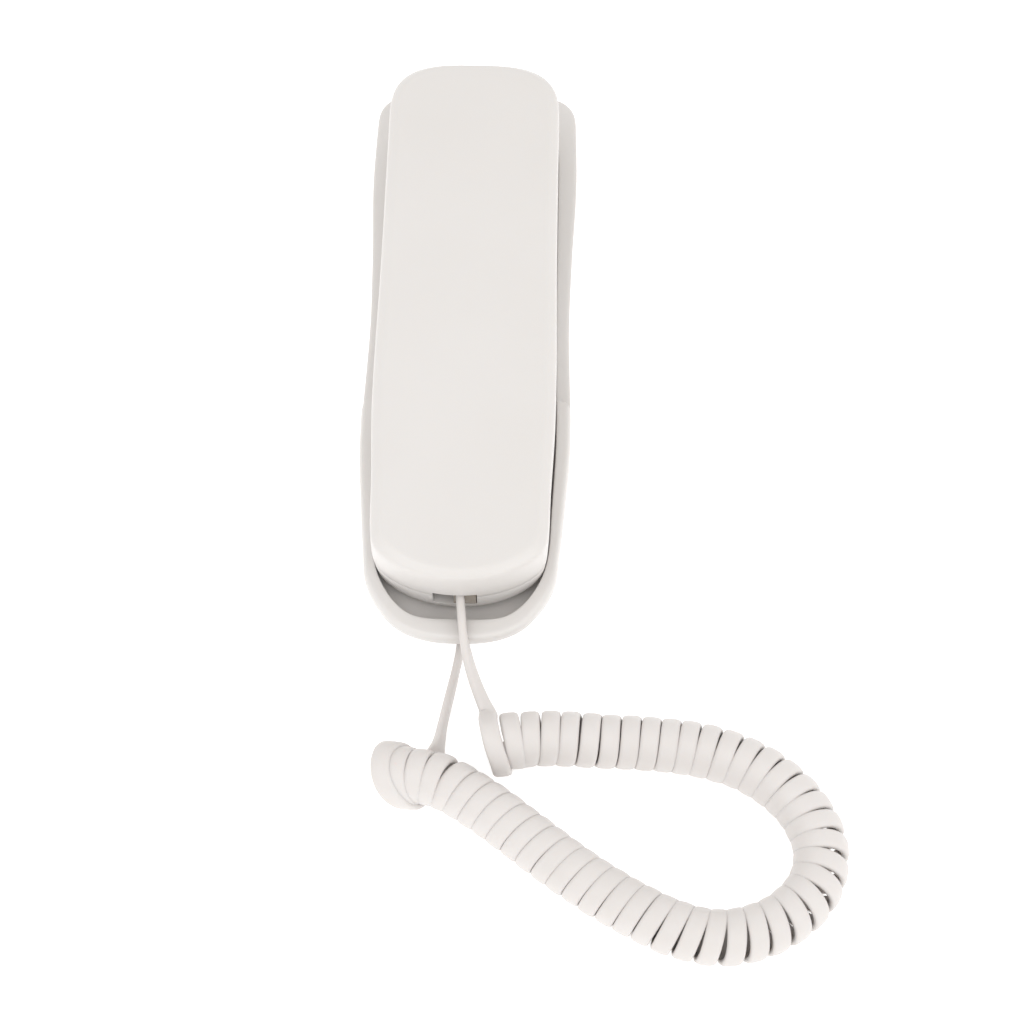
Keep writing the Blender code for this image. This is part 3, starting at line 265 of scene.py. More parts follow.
WHITE = moulded_plastic("white_plastic_look", (0.640, 0.616, 0.596), (0.618, 0.592, 0.568), 0.36, soft=0.06)
INNER_WHITE = moulded_plastic("inner_plastic_look", (0.74, 0.705, 0.665), (0.72, 0.68, 0.635), 0.5,
                              1500.0, 0.00005)
KEY_WHITE = moulded_plastic("key_plastic_look", (0.70, 0.675, 0.645), (0.67, 0.64, 0.605), 0.42)
DARK = moulded_plastic("dark_plastic_look", (0.02, 0.02, 0.021), (0.03, 0.03, 0.03), 0.45, 1500.0, 0.00005)
KNOB = moulded_plastic("knob_plastic_look", (0.34, 0.33, 0.32), (0.30, 0.29, 0.28), 0.5, 1500.0, 0.00005)
INK = moulded_plastic("numeral_ink_look", (0.05, 0.05, 0.055), (0.07, 0.07, 0.075), 0.55, 3000.0, 0.00002)
CORD = cord_vinyl()
FOOT_RUBBER = rubber("foot_rubber_look", (0.16, 0.155, 0.15))
BLACK_RUBBER = rubber("black_rubber_look", (0.025, 0.025, 0.025))
MAT_RUBBER = rubber("mat_rubber_look", (0.42, 0.42, 0.40))
STEEL = metal("steel_look", (0.62, 0.62, 0.63), 0.32, (1.0, 1.0, 6.0))
CAST = metal("weight_look", (0.36, 0.36, 0.37), 0.55, (1.0, 1.0, 1.0))
GOLD = metal("contact_look", (0.83, 0.62, 0.28), 0.25, (1.0, 5.0, 1.0))
BOARD = circuit_board()
CLEAR = clear_plastic()


# ---------------------------------------------------------------- cord

COIL_ROUTE = [(8.6, -118.0), (24.5, -116.4), (38.0, -116.8), (51.0, -117.3), (64.0, -118.8), (74.5, -122.0),
              (83.4, -127.4), (90.7, -135.6), (94.4, -146.0), (92.6, -155.6), (86.0, -163.6), (77.2, -168.4),
              (68.2, -170.1), (58.1, -168.3), (48.0, -163.8), (38.0, -158.0), (27.8, -150.9), (17.4, -142.9),
              (6.9, -135.1), (-3.6, -129.2), (-17.6, -127.4)]
COIL_AXIS_Z = 7.4
COIL_RADIUS = 6.01
RIBBON_WIDTH = 4.98
RIBBON_THICKNESS = 2.3
# Axis distance in mm at which each turn's count is reached
TURN_STATIONS = [(2.0, 17.5), (2.75, 21.3), (3.75, 26.6), (4.75, 31.9), (10.75, 62.4), (19.3, 106.5),
                 (27.75, 150.5),
                 (35.75, 189.5), (38.75, 204.1), (41.75, 218.7), (42.75, 223.9), (43.75, 228.2),
                 (44.75, 231.4),
                 (45.75, 233.0), (46.25, 233.4)]
# How far each turn leans along the coil, tips its top outwards, and lifts and swells, by turn count
LEAN_STATIONS = [(2.0, -0.8), (3.0, -0.7), (9.0, -0.6), (16.0, -0.3), (27.0, 0.1), (33.0, 0.35), (42.5, 0.3),
                 (43.75, 0.1), (44.75, -0.3), (45.75, -0.8), (46.25, -0.9)]
TIP_STATIONS = [(2.0, 0.0), (42.5, 0.0), (43.75, 0.7), (44.75, 2.3), (45.5, 4.4), (46.0, 5.3),
                (46.25, 5.5)]
LIFT_STATIONS = [(2.0, 0.9), (3.2, 0.7), (4.2, 0.15), (6.0, 0.0), (40.5, 0.0), (42.2, 1.2), (43.2, 2.4),
                 (45.2, 2.4),
                 (45.8, 2.1), (46.25, 1.6)]
SWELL_STATIONS = [(2.0, 0.15), (4.0, 0.1), (5.0, 0.0), (44.0, 0.0), (44.9, 0.4), (45.6, 1.4), (46.25, 1.75)]
LAST_TURN = 46.25
JOIN_TURN = 15.25
# First turns from the handset: axis distance, angle in half turns, radius and lift
FIRST_TURNS = [(0.3, 0.28, 6.9, 0.7), (0.4, 0.42, 7.0, 0.9), (0.7, 0.56, 7.1, 0.9),
               (1.4, 0.72, 7.4, 0.6), (2.3, 0.88, 7.8, 0.3),
               (2.9, 1.05, 8.0, 0.1), (3.2, 1.2, 7.7, 0.1), (3.4, 1.36, 7.0, 0.3), (4.1, 1.49, 6.5, 0.4),
               (5.3, 1.54, 6.3, 0.5), (6.6, 1.49, 6.3, 0.5), (7.4, 1.36, 6.3, 0.5), (7.4, 1.18, 6.35, 0.5),
               (7.1, 1.0, 6.4, 0.6), (6.6, 0.75, 6.45, 0.9), (6.2, 0.5, 6.45, 1.0), (6.0, 0.25, 6.4, 1.0),
               (6.0, 0.0, 6.3, 0.9), (6.5, -0.25, 6.2, 0.7), (7.6, -0.5, 6.2, 0.5), (9.1, -0.75, 6.2, 0.5),
               (10.3, -1.0, 6.2, 0.6), (10.9, -1.25, 6.2, 0.9), (11.1, -1.5, 6.2, 1.0),
               (11.3, -1.75, 6.2, 1.0),
               (11.6, -2.0, 6.2, 0.9), (12.2, -2.25, 6.2, 0.7), (13.2, -2.5, 6.2, 0.6),
               (14.5, -2.75, 6.2, 0.6),
               (15.6, -3.0, 6.2, 0.7), (16.1, -3.25, 6.2, 0.9), (16.3, -3.5, 6.2, 1.0),
               (16.5, -3.75, 6.2, 0.9)]
# Plain stretches: x, y, z in mm and the direction of the flat cord's thin side
HANDSET_LEAD = [(0.4, -83.45, 23.3, 1.0, 0.0, 0.0), (0.75, -87.0, 23.3, 1.0, 0.0, 0.0),
                (1.1, -90.4, 22.9, 1.0, 0.0, 0.0), (1.7, -94.6, 21.2, 0.99, 0.0, 0.06),
                (2.7, -98.4, 18.9, 0.97, 0.0, 0.2), (4.0, -102.0, 16.2, 0.92, 0.02, 0.36),
                (5.6, -105.4, 13.5, 0.86, 0.05, 0.5), (7.1, -108.2, 11.4, 0.74, 0.1, 0.66),
                (8.3, -110.5, 10.6, 0.45, 0.3, 0.84)]
BASE_LEAD = [(0.6, -86.35, 6.55, 1.0, 0.0, 0.0), (0.4, -89.4, 6.2, 1.0, 0.0, 0.0),
             (-0.1, -92.6, 5.2, 1.0, 0.0, 0.0),
             (-0.75, -95.8, 4.2, 1.0, 0.0, 0.0), (-1.75, -100.6, 3.2, 0.99, 0.0, 0.06),
             (-2.86, -106.0, 2.7, 0.99, 0.0, 0.08), (-3.86, -111.7, 2.65, 0.98, 0.0, 0.16),
             (-4.6, -116.4, 2.5, 0.88, 0.0, 0.45), (-5.7, -119.4, 1.6, 0.3, 0.0, 0.95),
             (-7.6, -121.8, 1.22, 0.0, 0.0, 1.0),
             (-10.0, -124.0, 1.22, 0.0, 0.0, 1.0)]


def spline(rows, spacing):
    """Evenly spaced samples on a smooth curve through rows whose first three columns are a place."""
    rows = np.array(rows, float)
    gaps = np.linalg.norm(np.diff(rows[:, :3], axis=0), axis=1)
    at = np.concatenate([[0.0], np.cumsum(gaps)])
    slopes = np.gradient(rows, at, axis=0)
    along = np.linspace(0.0, at[-1], int(round(at[-1] / spacing)) + 1)
    index = np.clip(np.searchsorted(at, along, side='right') - 1, 0, len(at) - 2)
    span = (at[index + 1] - at[index])[:, None]
    t = (along - at[index])[:, None] / span
    return ((2 * t ** 3 - 3 * t ** 2 + 1) * rows[index] + (t ** 3 - 2 * t ** 2 + t) * span * slopes[index]
            + (3 * t ** 2 - 2 * t ** 3) * rows[index + 1] + (t ** 3 - t ** 2) * span * slopes[index + 1])


AXIS = spline([(x, y, 0.0) for x, y in COIL_ROUTE], 0.5)
AXIS_AT = np.concatenate([[0.0], np.cumsum(np.linalg.norm(np.diff(AXIS, axis=0), axis=1))])
AXIS_DIRECTION = np.gradient(AXIS, AXIS_AT, axis=0)


def coil_place(distance, half_turns, radius, lift):
    """Place on the coil and its outward direction, distance mm along the axis."""
    inside = min(max(distance, 0.0), AXIS_AT[-1])
    middle = np.array([np.interp(inside, AXIS_AT, AXIS[:, k]) for k in range(3)])
    ahead = np.array([np.interp(inside, AXIS_AT, AXIS_DIRECTION[:, k]) for k in range(3)])
    ahead /= np.linalg.norm(ahead)
    middle = middle + ahead * (distance - inside) + np.array([0.0, -0.3 * lift, COIL_AXIS_Z + lift])
    aside = np.array([-ahead[1], ahead[0], 0.0])
    upward = np.array([0.0, 0.0, 1.0])
    outward = aside * math.cos(math.pi * half_turns) + upward * math.sin(math.pi * half_turns)
    return list(middle + radius * outward) + list(outward)


def station(stations, turn):
    turns, values = zip(*stations)
    return float(np.interp(turn, turns, values))


def smooth_station(stations, turn):
    turns, values = (np.array(column) for column in zip(*stations))
    slopes = np.gradient(values, turns)
    index = int(np.clip(np.searchsorted(turns, turn, side='right') - 1, 0, len(turns) - 2))
    span = turns[index + 1] - turns[index]
    t = (turn - turns[index]) / span
    return float((2 * t ** 3 - 3 * t ** 2 + 1) * values[index] + (t ** 3 - 2 * t ** 2 + t) * span
                 * slopes[index]
                 + (3 * t ** 2 - 2 * t ** 3) * values[index + 1] + (t ** 3 - t ** 2) * span
                 * slopes[index + 1])


def wander(turn, seed):
    """Small irregularity from turn to turn, between -1 and 1."""
    return (math.sin(1.7 * turn + seed) + math.sin(2.93 * turn + 2.1 * seed)
            + math.sin(0.71 * turn + 3.3 * seed)) / 3.0


def coil_rows(first, last, per_turn=20):
    rows = []
    for step in range(int(round((last - first) * per_turn)) + 1):
        turn = first + step / per_turn
        round_about = math.cos(2.0 * math.pi * turn)
        distance = (smooth_station(TURN_STATIONS, turn) + station(LEAN_STATIONS, turn) * round_about
                    - station(TIP_STATIONS, turn) * math.sin(2.0 * math.pi * turn) + 0.12 * wander(turn, 1.3))
        radius = COIL_RADIUS + station(SWELL_STATIONS, turn) + 0.07 * wander(turn, 4.1)
        rows.append(coil_place(distance, -2.0 * turn, radius, station(LIFT_STATIONS, turn)))
    return rows


def ribbon(name, rows):
    """Flat cord through rows of place and thin-side direction: its object and ring centres in metres."""
    samples = spline(rows, 0.95)
    centres = samples[:, :3]
    ahead = np.gradient(centres, axis=0)
    ahead /= np.linalg.norm(ahead, axis=1)[:, None]
    thin = samples[:, 3:]
    thin = thin - ahead * np.sum(thin * ahead, axis=1)[:, None]
    thin /= np.linalg.norm(thin, axis=1)[:, None]
    wide = np.cross(ahead, thin)
    angles = 2.0 * np.pi * np.arange(16) / 16.0
    power = 2.0 / 3.0
    across = 0.5 * RIBBON_WIDTH * np.sign(np.cos(angles)) * np.abs(np.cos(angles)) ** power
    through = 0.5 * RIBBON_THICKNESS * np.sign(np.sin(angles)) * np.abs(np.sin(angles)) ** power
    points = (centres[:, None, :] + wide[:, None, :] * across[None, :, None]
              + thin[:, None, :] * through[None, :, None])
    points = points.reshape(-1, 3)
    points[:, 2] = np.maximum(points[:, 2], 0.06)
    sides = len(angles)
    faces = []
    for ring in range(len(centres) - 1):
        for side in range(sides):
            following = (side + 1) % sides
            faces.append((ring * sides + side, ring * sides + following, (ring + 1) * sides + following,
                          (ring + 1) * sides + side))
    faces.append(tuple(range(sides))[::-1])
    faces.append(tuple((len(centres) - 1) * sides + side for side in range(sides)))
    mesh = bpy.data.meshes.new(name)
    mesh.from_pydata((points * MM).tolist(), [], faces)
    builder = bmesh.new()
    builder.from_mesh(mesh)
    bmesh.ops.recalc_face_normals(builder, faces=builder.faces)
    builder.to_mesh(mesh)
    builder.free()
    mesh.shade_smooth()
    mesh.set_sharp_from_angle(angle=math.radians(70.0))
    mesh.materials.append(CORD)
    piece = bpy.data.objects.new(name, mesh)
    bpy.context.scene.collection.objects.link(piece)
    return piece, (centres * MM).tolist()


def make_cords():
    first_turns = [coil_place(*row) for row in FIRST_TURNS]
    upper, upper_path = ribbon("cord_upper", HANDSET_LEAD + first_turns + coil_rows(2.0, JOIN_TURN))
    # The flat cord's two sides are alike, so its thin side may point into the coil
    wound = [row[:3] + [-part for part in row[3:]] for row in coil_rows(JOIN_TURN, LAST_TURN)[::-1]]
    lower, lower_path = ribbon("cord_lower", BASE_LEAD + wound)
    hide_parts("cord_handset_lead")
    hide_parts("cord_coil", "cord_base_lead")
    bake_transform(upper)
    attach(lower, "base")


make_cords()


# ---------------------------------------------------------------- shape helpers

END_STEPS = 22


def through(stations, share):
    """Smooth curve through (share, value in mm) stations, in metres."""
    share = min(max(share, stations[0][0]), stations[-1][0])
    last = len(stations) - 1
    index = 0
    while index < last - 1 and share > stations[index + 1][0]:
        index += 1
    left, right = stations[index], stations[index + 1]
    before, after = stations[max(index - 1, 0)], stations[min(index + 2, last)]
    span = right[0] - left[0]
    slope_left = (right[1] - before[1]) / (right[0] - before[0]) * span
    slope_right = (after[1] - left[1]) / (after[0] - left[0]) * span
    t = (share - left[0]) / span
    value = ((2 * t ** 3 - 3 * t ** 2 + 1) * left[1] + (t ** 3 - 2 * t ** 2 + t) * slope_left
             + (3 * t ** 2 - 2 * t ** 3) * right[1] + (t ** 3 - t ** 2) * slope_right)
    return value * MM


def handset_half(y):
    return 0.5 * HANDSET_WIDTH + through(HANDSET_WAIST, (y - HANDSET_TOE) / HANDSET_LENGTH)


def bay_half(y):
    return handset_half(y) + BAY_MARGIN


def base_half(y):
    return bay_half(y) + through(RIM_WIDTHS, (y - BASE_TOE) / (BASE_HEAD - BASE_TOE))


def handset_top(y):
    share = min(max((y - HANDSET_TOE) / HANDSET_LENGTH, 0.0), 1.0)
    slope = (HANDSET_HEAD_TOP - HANDSET_TOE_TOP) * share
    return HANDSET_TOE_TOP + slope + HANDSET_CROWN * 4.0 * share * (1.0 - share)


def half_outline(side, inset, toe, head, toe_round, head_round, toe_power, head_power):
    """Right-hand half of a plan outline, its rows closer together near the cup's shoulders."""
    toe_start = toe + toe_round
    head_start = head - head_round
    points = []
    for step in range(END_STEPS + 1):
        angle = 0.5 * math.pi * step / END_STEPS
        y = toe_start - toe_round * max(math.cos(angle), 0.0) ** (2.0 / toe_power)
        points.append(((side(y) - inset) * math.sin(angle) ** (2.0 / toe_power), y))
    marks = [toe_start, SHOULDER_Y - 7.0 * MM, SHOULDER_Y + 3.0 * MM, head_start]
    for low, high, count in zip(marks, marks[1:], (10, 34, 22)):
        for step in range(1, count + 1):
            y = low + (high - low) * step / count
            points.append((side(y) - inset, y))
    points.pop()
    for step in range(END_STEPS, -1, -1):
        angle = 0.5 * math.pi * step / END_STEPS
        y = head_start + head_round * max(math.cos(angle), 0.0) ** (2.0 / head_power)
        points.append(((side(y) - inset) * math.sin(angle) ** (2.0 / head_power), y))
    return points


def base_outline(inset=0.0, toe_inset=None, head_inset=None):
    toe = BASE_TOE + (inset if toe_inset is None else toe_inset)
    head = BASE_HEAD - (inset if head_inset is None else head_inset)
    return half_outline(base_half, inset, toe, head, 22.9 * MM, 16.0 * MM, 2.44, 4.0)


def bay_outline(inset=0.0):
    return half_outline(bay_half, inset, HANDSET_TOE - 2.8 * MM + inset, HANDSET_HEAD + 2.0 * MM - inset,
                        45.0 * MM, 20.0 * MM, 4.3, 3.2)


def handset_outline(inset, toe_inset, head_inset):
    return half_outline(handset_half, inset, HANDSET_TOE + toe_inset, HANDSET_HEAD - head_inset,
                        11.8 * MM, 20.0 * MM, 2.0, 3.2)


def at_height(outline, z):
    if callable(z):
        return [(x, y, z(y)) for x, y in outline]
    return [(x, y, z) for x, y in outline]


def between(outer, inner, share):
    return [tuple(a + (b - a) * share for a, b in zip(p, q)) for p, q in zip(outer, inner)]


def finish_mesh(name, builder, material, sharp=32.0):
    bmesh.ops.recalc_face_normals(builder, faces=builder.faces)
    mesh = bpy.data.meshes.new(name)
    builder.to_mesh(mesh)
    builder.free()
    mesh.shade_smooth()
    mesh.set_sharp_from_angle(angle=math.radians(sharp))
    mesh.materials.append(material)
    piece = bpy.data.objects.new(name, mesh)
    bpy.context.scene.collection.objects.link(piece)
    return piece


def loft(rings):
    builder = bmesh.new()
    loops = []
    for ring in rings:
        right = [builder.verts.new(point) for point in ring]
        left = [builder.verts.new((-x, y, z)) for x, y, z in ring[1:-1]]
        loops.append(right + left[::-1])
    count = len(loops[0])
    for lower, upper in zip(loops, loops[1:]):
        for index in range(count):
            following = (index + 1) % count
            builder.faces.new((lower[index], lower[following], upper[following], upper[index]))
    for loop in (loops[0], loops[-1]):
        half = count // 2
        builder.faces.new((loop[0], loop[1], loop[-1]))
        for index in range(1, half - 1):
            builder.faces.new((loop[index], loop[index + 1], loop[count - index - 1], loop[count - index]))
        builder.faces.new((loop[half - 1], loop[half], loop[half + 1]))
    return builder


def stack(sections):
    builder = bmesh.new()
    loops = [[builder.verts.new((x, y, z)) for x, y in points] for points, z in sections]
    count = len(loops[0])
    for lower, upper in zip(loops, loops[1:]):
        for index in range(count):
            following = (index + 1) % count
            builder.faces.new((lower[index], lower[following], upper[following], upper[index]))
    builder.faces.new(loops[0])
    builder.faces.new(loops[-1][::-1])
    return builder


def rounded(x, y, width, depth, corner, steps=6):
    """Plan of a rectangle with round corners."""
    plan = []
    a, b = 0.5 * width - corner, 0.5 * depth - corner
    for quarter, (sx, sy) in enumerate(((1, 1), (-1, 1), (-1, -1), (1, -1))):
        for step in range(steps + 1):
            angle = 0.5 * math.pi * (quarter + step / steps)
            plan.append((x + sx * a + corner * math.cos(angle), y + sy * b + corner * math.sin(angle)))
    return plan


def circle(x, y, radius, sides):
    return [(x + radius * math.cos(2.0 * math.pi * step / sides),
             y + radius * math.sin(2.0 * math.pi * step / sides)) for step in range(sides)]


def block(x, y, width, depth, bottom, top, corner=0.25 * MM):
    plan = rounded(x, y, width, depth, corner, 3)
    return stack([(plan, bottom), (plan, top)])


def drum(x, y, radius, bottom, top, sides=40):
    plan = circle(x, y, radius, sides)
    return stack([(plan, bottom), (plan, top)])


def upright_slot(x, z, width, height, low, high, corner=0.5 * MM):
    """Cutter with a rounded rectangle in X and Z that runs from low to high along Y."""
    plan = rounded(x, z, width, height, corner, 4)
    builder = stack([(plan, low), (plan, high)])
    for vert in builder.verts:
        vert.co = Vector((vert.co.x, vert.co.z, vert.co.y))
    return builder


def turned(x, y, profile, sides=48):
    builder = bmesh.new()
    ring = profile[0][0] > 0.0
    loops = []
    for radius, z in profile:
        if radius <= 0.0:
            loops.append([builder.verts.new((x, y, z))])
        else:
            loops.append([builder.verts.new((px, py, z)) for px, py in circle(x, y, radius, sides)])
    pairs = list(zip(loops, loops[1:]))
    if ring:
        pairs.append((loops[-1], loops[0]))
    for lower, upper in pairs:
        for index in range(sides):
            following = (index + 1) % sides
            corners = []
            for corner in (lower[index % len(lower)], lower[following % len(lower)],
                           upper[following % len(upper)], upper[index % len(upper)]):
                if corner not in corners:
                    corners.append(corner)
            builder.faces.new(corners)
    return builder


def combine(piece, operation, builders, sharp=32.0):
    """Cut bodies from a piece, or join them to it, and keep the result as its mesh."""
    whole = bmesh.new()
    for builder in builders:
        bmesh.ops.recalc_face_normals(builder, faces=builder.faces)
        copies = {vert: whole.verts.new(vert.co) for vert in builder.verts}
        for face in builder.faces:
            whole.faces.new([copies[vert] for vert in face.verts])
        builder.free()
    tool_mesh = bpy.data.meshes.new("tool")
    whole.to_mesh(tool_mesh)
    whole.free()
    tool = bpy.data.objects.new("tool", tool_mesh)
    bpy.context.scene.collection.objects.link(tool)
    modifier = piece.modifiers.new("Shape", 'BOOLEAN')
    modifier.operation = operation
    modifier.solver = 'EXACT'
    modifier.object = tool
    graph = bpy.context.evaluated_depsgraph_get()
    result = bpy.data.meshes.new_from_object(piece.evaluated_get(graph))
    piece.modifiers.clear()
    material = piece.data.materials[0]
    piece.data = result
    result.materials.clear()
    result.materials.append(material)
    for polygon in result.polygons:
        polygon.material_index = 0
        polygon.use_smooth = True
    result.set_sharp_from_angle(angle=math.radians(sharp))
    bpy.data.objects.remove(tool, do_unlink=True)
    return piece


def mount(piece, body, slot, *nodes):
    """Ride on a CAD body and stand for CAD nodes, which it hides; the slot argument is not used."""
    if nodes:
        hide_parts(*nodes)
    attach(piece, body)
    return piece


# ---------------------------------------------------------------- base

def deck_share(x, y):
    """0 inside the cup, 1 on the open deck beyond its rounded shoulders."""
    outer = base_half(SHOULDER_Y)
    reach = min(max(abs(x) - (outer - SHOULDER_ROUND), 0.0) / SHOULDER_ROUND, 1.0)
    edge = SHOULDER_Y - SHOULDER_ROUND * (1.0 - math.sqrt(max(1.0 - reach * reach, 0.0)))
    t = min(max((y - edge) / (0.9 * MM) + 0.5, 0.0), 1.0)
    return t * t * (3.0 - 2.0 * t)


def lower_deck(ring):
    """Bring what stands above the tray down to the deck's height beyond the cup."""
    moved = []
    for x, y, z in ring:
        if z > TRAY_FLOOR:
            flat = TRAY_FLOOR + (z - TRAY_FLOOR) * (DECK_TOP - TRAY_FLOOR) / (RIM_TOP - TRAY_FLOOR)
            z = z + (flat - z) * deck_share(x, y)
        moved.append((x, y, z))
    return moved


def build_casing():
    thin = BASE_WALL
    rings = [at_height(base_outline(thin + 1.6 * MM, thin + 5.0 * MM, thin + 1.0 * MM), CEILING),
             at_height(base_outline(thin + 1.6 * MM, thin + 8.4 * MM, thin + 1.0 * MM),
                       BASE_BOTTOM + 0.3 * MM),
             at_height(base_outline(thin + 1.3 * MM, thin + 8.1 * MM, thin + 0.7 * MM), BASE_BOTTOM),
             at_height(base_outline(2.2 * MM, 9.0 * MM, 1.6 * MM), BASE_BOTTOM)]
    outer = [(1.62, 8.42, 1.02, 1.35), (1.45, 7.95, 0.85, 2.2), (1.15, 6.9, 0.6, 4.2), (0.7, 4.85, 0.2, 8.0),
             (0.3, 3.25, 0.08, 11.0), (0.0, 1.65, 0.0, 14.0), (0.0, 0.55, 0.0, 16.0), (0.0, 0.12, 0.0, 17.0),
             (0.02, 0.02, 0.02, 18.0), (0.1, 0.1, 0.1, 18.7), (0.27, 0.27, 0.27, 19.25),
             (0.52, 0.52, 0.52, 19.63),
             (0.86, 0.86, 0.86, 19.9), (1.25, 1.25, 1.25, 20.0)]
    rings += [at_height(base_outline(a * MM, b * MM, c * MM), z * MM) for a, b, c, z in outer]
    bay = [at_height(bay_outline(-0.35 * MM), RIM_TOP), at_height(bay_outline(-0.1 * MM), RIM_TOP - 0.1 * MM),
           at_height(bay_outline(0.02 * MM), RIM_TOP - 0.4 * MM),
           at_height(bay_outline(0.25 * MM), 17.0 * MM),
           at_height(bay_outline(0.45 * MM), TRAY_FLOOR + 0.8 * MM),
           at_height(bay_outline(0.7 * MM), TRAY_FLOOR + 0.2 * MM),
           at_height(bay_outline(1.3 * MM), TRAY_FLOOR)]
    rings += [between(rings[-1], bay[0], share) for share in (0.25, 0.5, 0.75)]
    rings += bay
    casing = finish_mesh("base_casing", loft([lower_deck(ring) for ring in rings]), WHITE, 40.0)
    cuts = [turned(0.0, RECEIVER_Y, [(0.0, TRAY_FLOOR - 0.8 * MM), (RECEIVER_RING, TRAY_FLOOR - 0.8 * MM),
                                     (RECEIVER_RING + 0.6 * MM, TRAY_FLOOR - 0.3 * MM),
                                     (RECEIVER_RING + 0.6 * MM, TRAY_FLOOR + 0.8 * MM),
                                     (0.0, TRAY_FLOOR + 0.8 * MM)], 96),
            drum(PLUNGER[0], PLUNGER[1], PLUNGER[2], CEILING - 1.0 * MM, TRAY_FLOOR + 1.0 * MM),
            block(0.0, LUG_Y, 9.6 * MM, 2.6 * MM, CEILING - 1.0 * MM, TRAY_FLOOR + 1.0 * MM),
            upright_slot(BASE_SLOT[0], BASE_SLOT[1], *SLOT, BASE_TOE - 3.0 * MM, BASE_TOE + 11.8 * MM),
            upright_slot(*LINE_SOCKET, BASE_HEAD - 5.0 * MM, BASE_HEAD + 3.0 * MM)]
    for side in (-1.0, 1.0):
        cuts.append(upright_slot(side * KNOB_X, *KNOB_WINDOW, BASE_HEAD - 6.0 * MM, BASE_HEAD + 3.0 * MM))
    combine(casing, 'DIFFERENCE', cuts, 40.0)
    return mount(casing, "base", "white_plastic", "base_shell")


def keyhole(y):
    half_neck, radius, run = 0.5 * KEYHOLE_NECK, KEYHOLE_RADIUS, KEYHOLE_RUN
    angle = math.asin(half_neck / radius)
    plan = [(half_neck * math.cos(math.pi * step / 10),
             y + run - half_neck + half_neck * math.sin(math.pi * step / 10))
            for step in range(11)]
    for step in range(33):
        turn = 0.5 * math.pi + angle + (2.0 * math.pi - 2.0 * angle) * step / 32
        plan.append((radius * math.cos(turn), y + radius * math.sin(turn)))
    return stack([(plan, 0.0), (plan, PLATE_TOP + 1.0 * MM)])


def foot_places():
    places = []
    for y, inward in FOOT_ROWS:
        places += [(side * (base_half(y) - inward), y) for side in (-1.0, 1.0)]
    return places


def plate_screw_places():
    places = []
    for y, inward in PLATE_SCREW_ROWS:
        places += [(side * (base_half(y) - inward), y) for side in (-1.0, 1.0)]
    return places


def build_plate():
    gap = 0.3 * MM
    edge = (BASE_WALL + 1.6 * MM + gap, BASE_WALL + 8.4 * MM + gap, BASE_WALL + 1.0 * MM + gap)
    softer = tuple(value + 0.3 * MM for value in edge)
    plate = finish_mesh("back_plate", loft([at_height(base_outline(*softer), BASE_BOTTOM),
                                            at_height(base_outline(*edge), BASE_BOTTOM + 0.3 * MM),
                                            at_height(base_outline(*edge), PLATE_TOP)]), INNER_WHITE)
    cuts = [keyhole(side * KEYHOLE_Y) for side in (-1.0, 1.0)]
    cuts += [drum(x, y, 5.3 * MM, 0.0, 2.7 * MM) for x, y in foot_places()]
    cuts += [turned(x, y, [(0.0, 0.0), (2.9 * MM, 0.0), (2.9 * MM, 2.6 * MM), (1.4 * MM, 2.6 * MM),
                           (1.4 * MM, PLATE_TOP + 1.0 * MM), (0.0, PLATE_TOP + 1.0 * MM)], 32) for x,
             y in plate_screw_places()]
    cuts.append(block(0.6 * MM, -82.7 * MM, 13.9 * MM, 28.4 * MM, 0.0, PLATE_TOP + 1.0 * MM))
    cuts.append(block(0.0, 4.0 * MM, 30.0 * MM, 44.0 * MM, 0.0, BASE_BOTTOM + 0.35 * MM, 2.0 * MM))
    for row in range(9):
        cuts.append(block(0.0, (-65.2 + 1.9 * row) * MM, 14.0 * MM, 0.9 * MM, 0.0, PLATE_TOP + 1.0 * MM,
                          0.4 * MM))
    combine(plate, 'DIFFERENCE', cuts)
    return mount(plate, "base", "white_plastic", "base_back_plate")


def build_feet():
    for number, (x, y) in enumerate(foot_places(), 1):
        profile = [(0.0, 0.25 * MM), (2.6 * MM, 0.25 * MM), (3.0 * MM, 0.0), (4.2 * MM, 0.0),
                   (4.7 * MM, 0.12 * MM),
                   (4.95 * MM, 0.5 * MM), (5.0 * MM, 0.9 * MM), (5.0 * MM, 2.2 * MM), (0.0, 2.2 * MM)]
        foot = finish_mesh("rubber_pad_%d" % number, turned(x, y, profile, 56), FOOT_RUBBER)
        mount(foot, "base", "foot_rubber", "rubber_foot_%d" % number)


def screw(name, x, y, shoulder, length, body, node):
    """Pan-head screw with a cross recess, its head facing down."""
    top = shoulder - 0.3 * MM
    low = top - 1.2 * MM
    profile = [(0.0, low), (1.5 * MM, low), (2.2 * MM, low + 0.12 * MM), (2.5 * MM, low + 0.4 * MM),
               (2.6 * MM, low + 0.8 * MM),
               (2.6 * MM, top), (1.1 * MM, top), (1.1 * MM, top + length - 0.8 * MM), (0.0, top + length)]
    piece = finish_mesh(name, turned(x, y, profile, 40), STEEL)
    for width, length_of_bar in ((2.6, 0.6), (0.6, 2.6)):
        bar = block(x, y, width * MM, length_of_bar * MM, low - 1.0 * MM, low + 0.75 * MM, 0.1 * MM)
        combine(piece, 'DIFFERENCE', [bar])
    return mount(piece, body, "steel", node)


def build_wires(name, rows, radius, material):
    """Several bent contact wires as one mesh, each row a list of points."""
    curve = bpy.data.curves.new(name, 'CURVE')
    curve.dimensions = '3D'
    curve.bevel_depth = radius
    curve.bevel_resolution = 2
    curve.use_fill_caps = True
    for row in rows:
        spline_curve = curve.splines.new('POLY')
        spline_curve.points.add(len(row) - 1)
        for point, place in zip(spline_curve.points, row):
            point.co = (*place, 1.0)
    curve.materials.append(material)
    piece = bpy.data.objects.new(name, curve)
    bpy.context.scene.collection.objects.link(piece)
    return piece


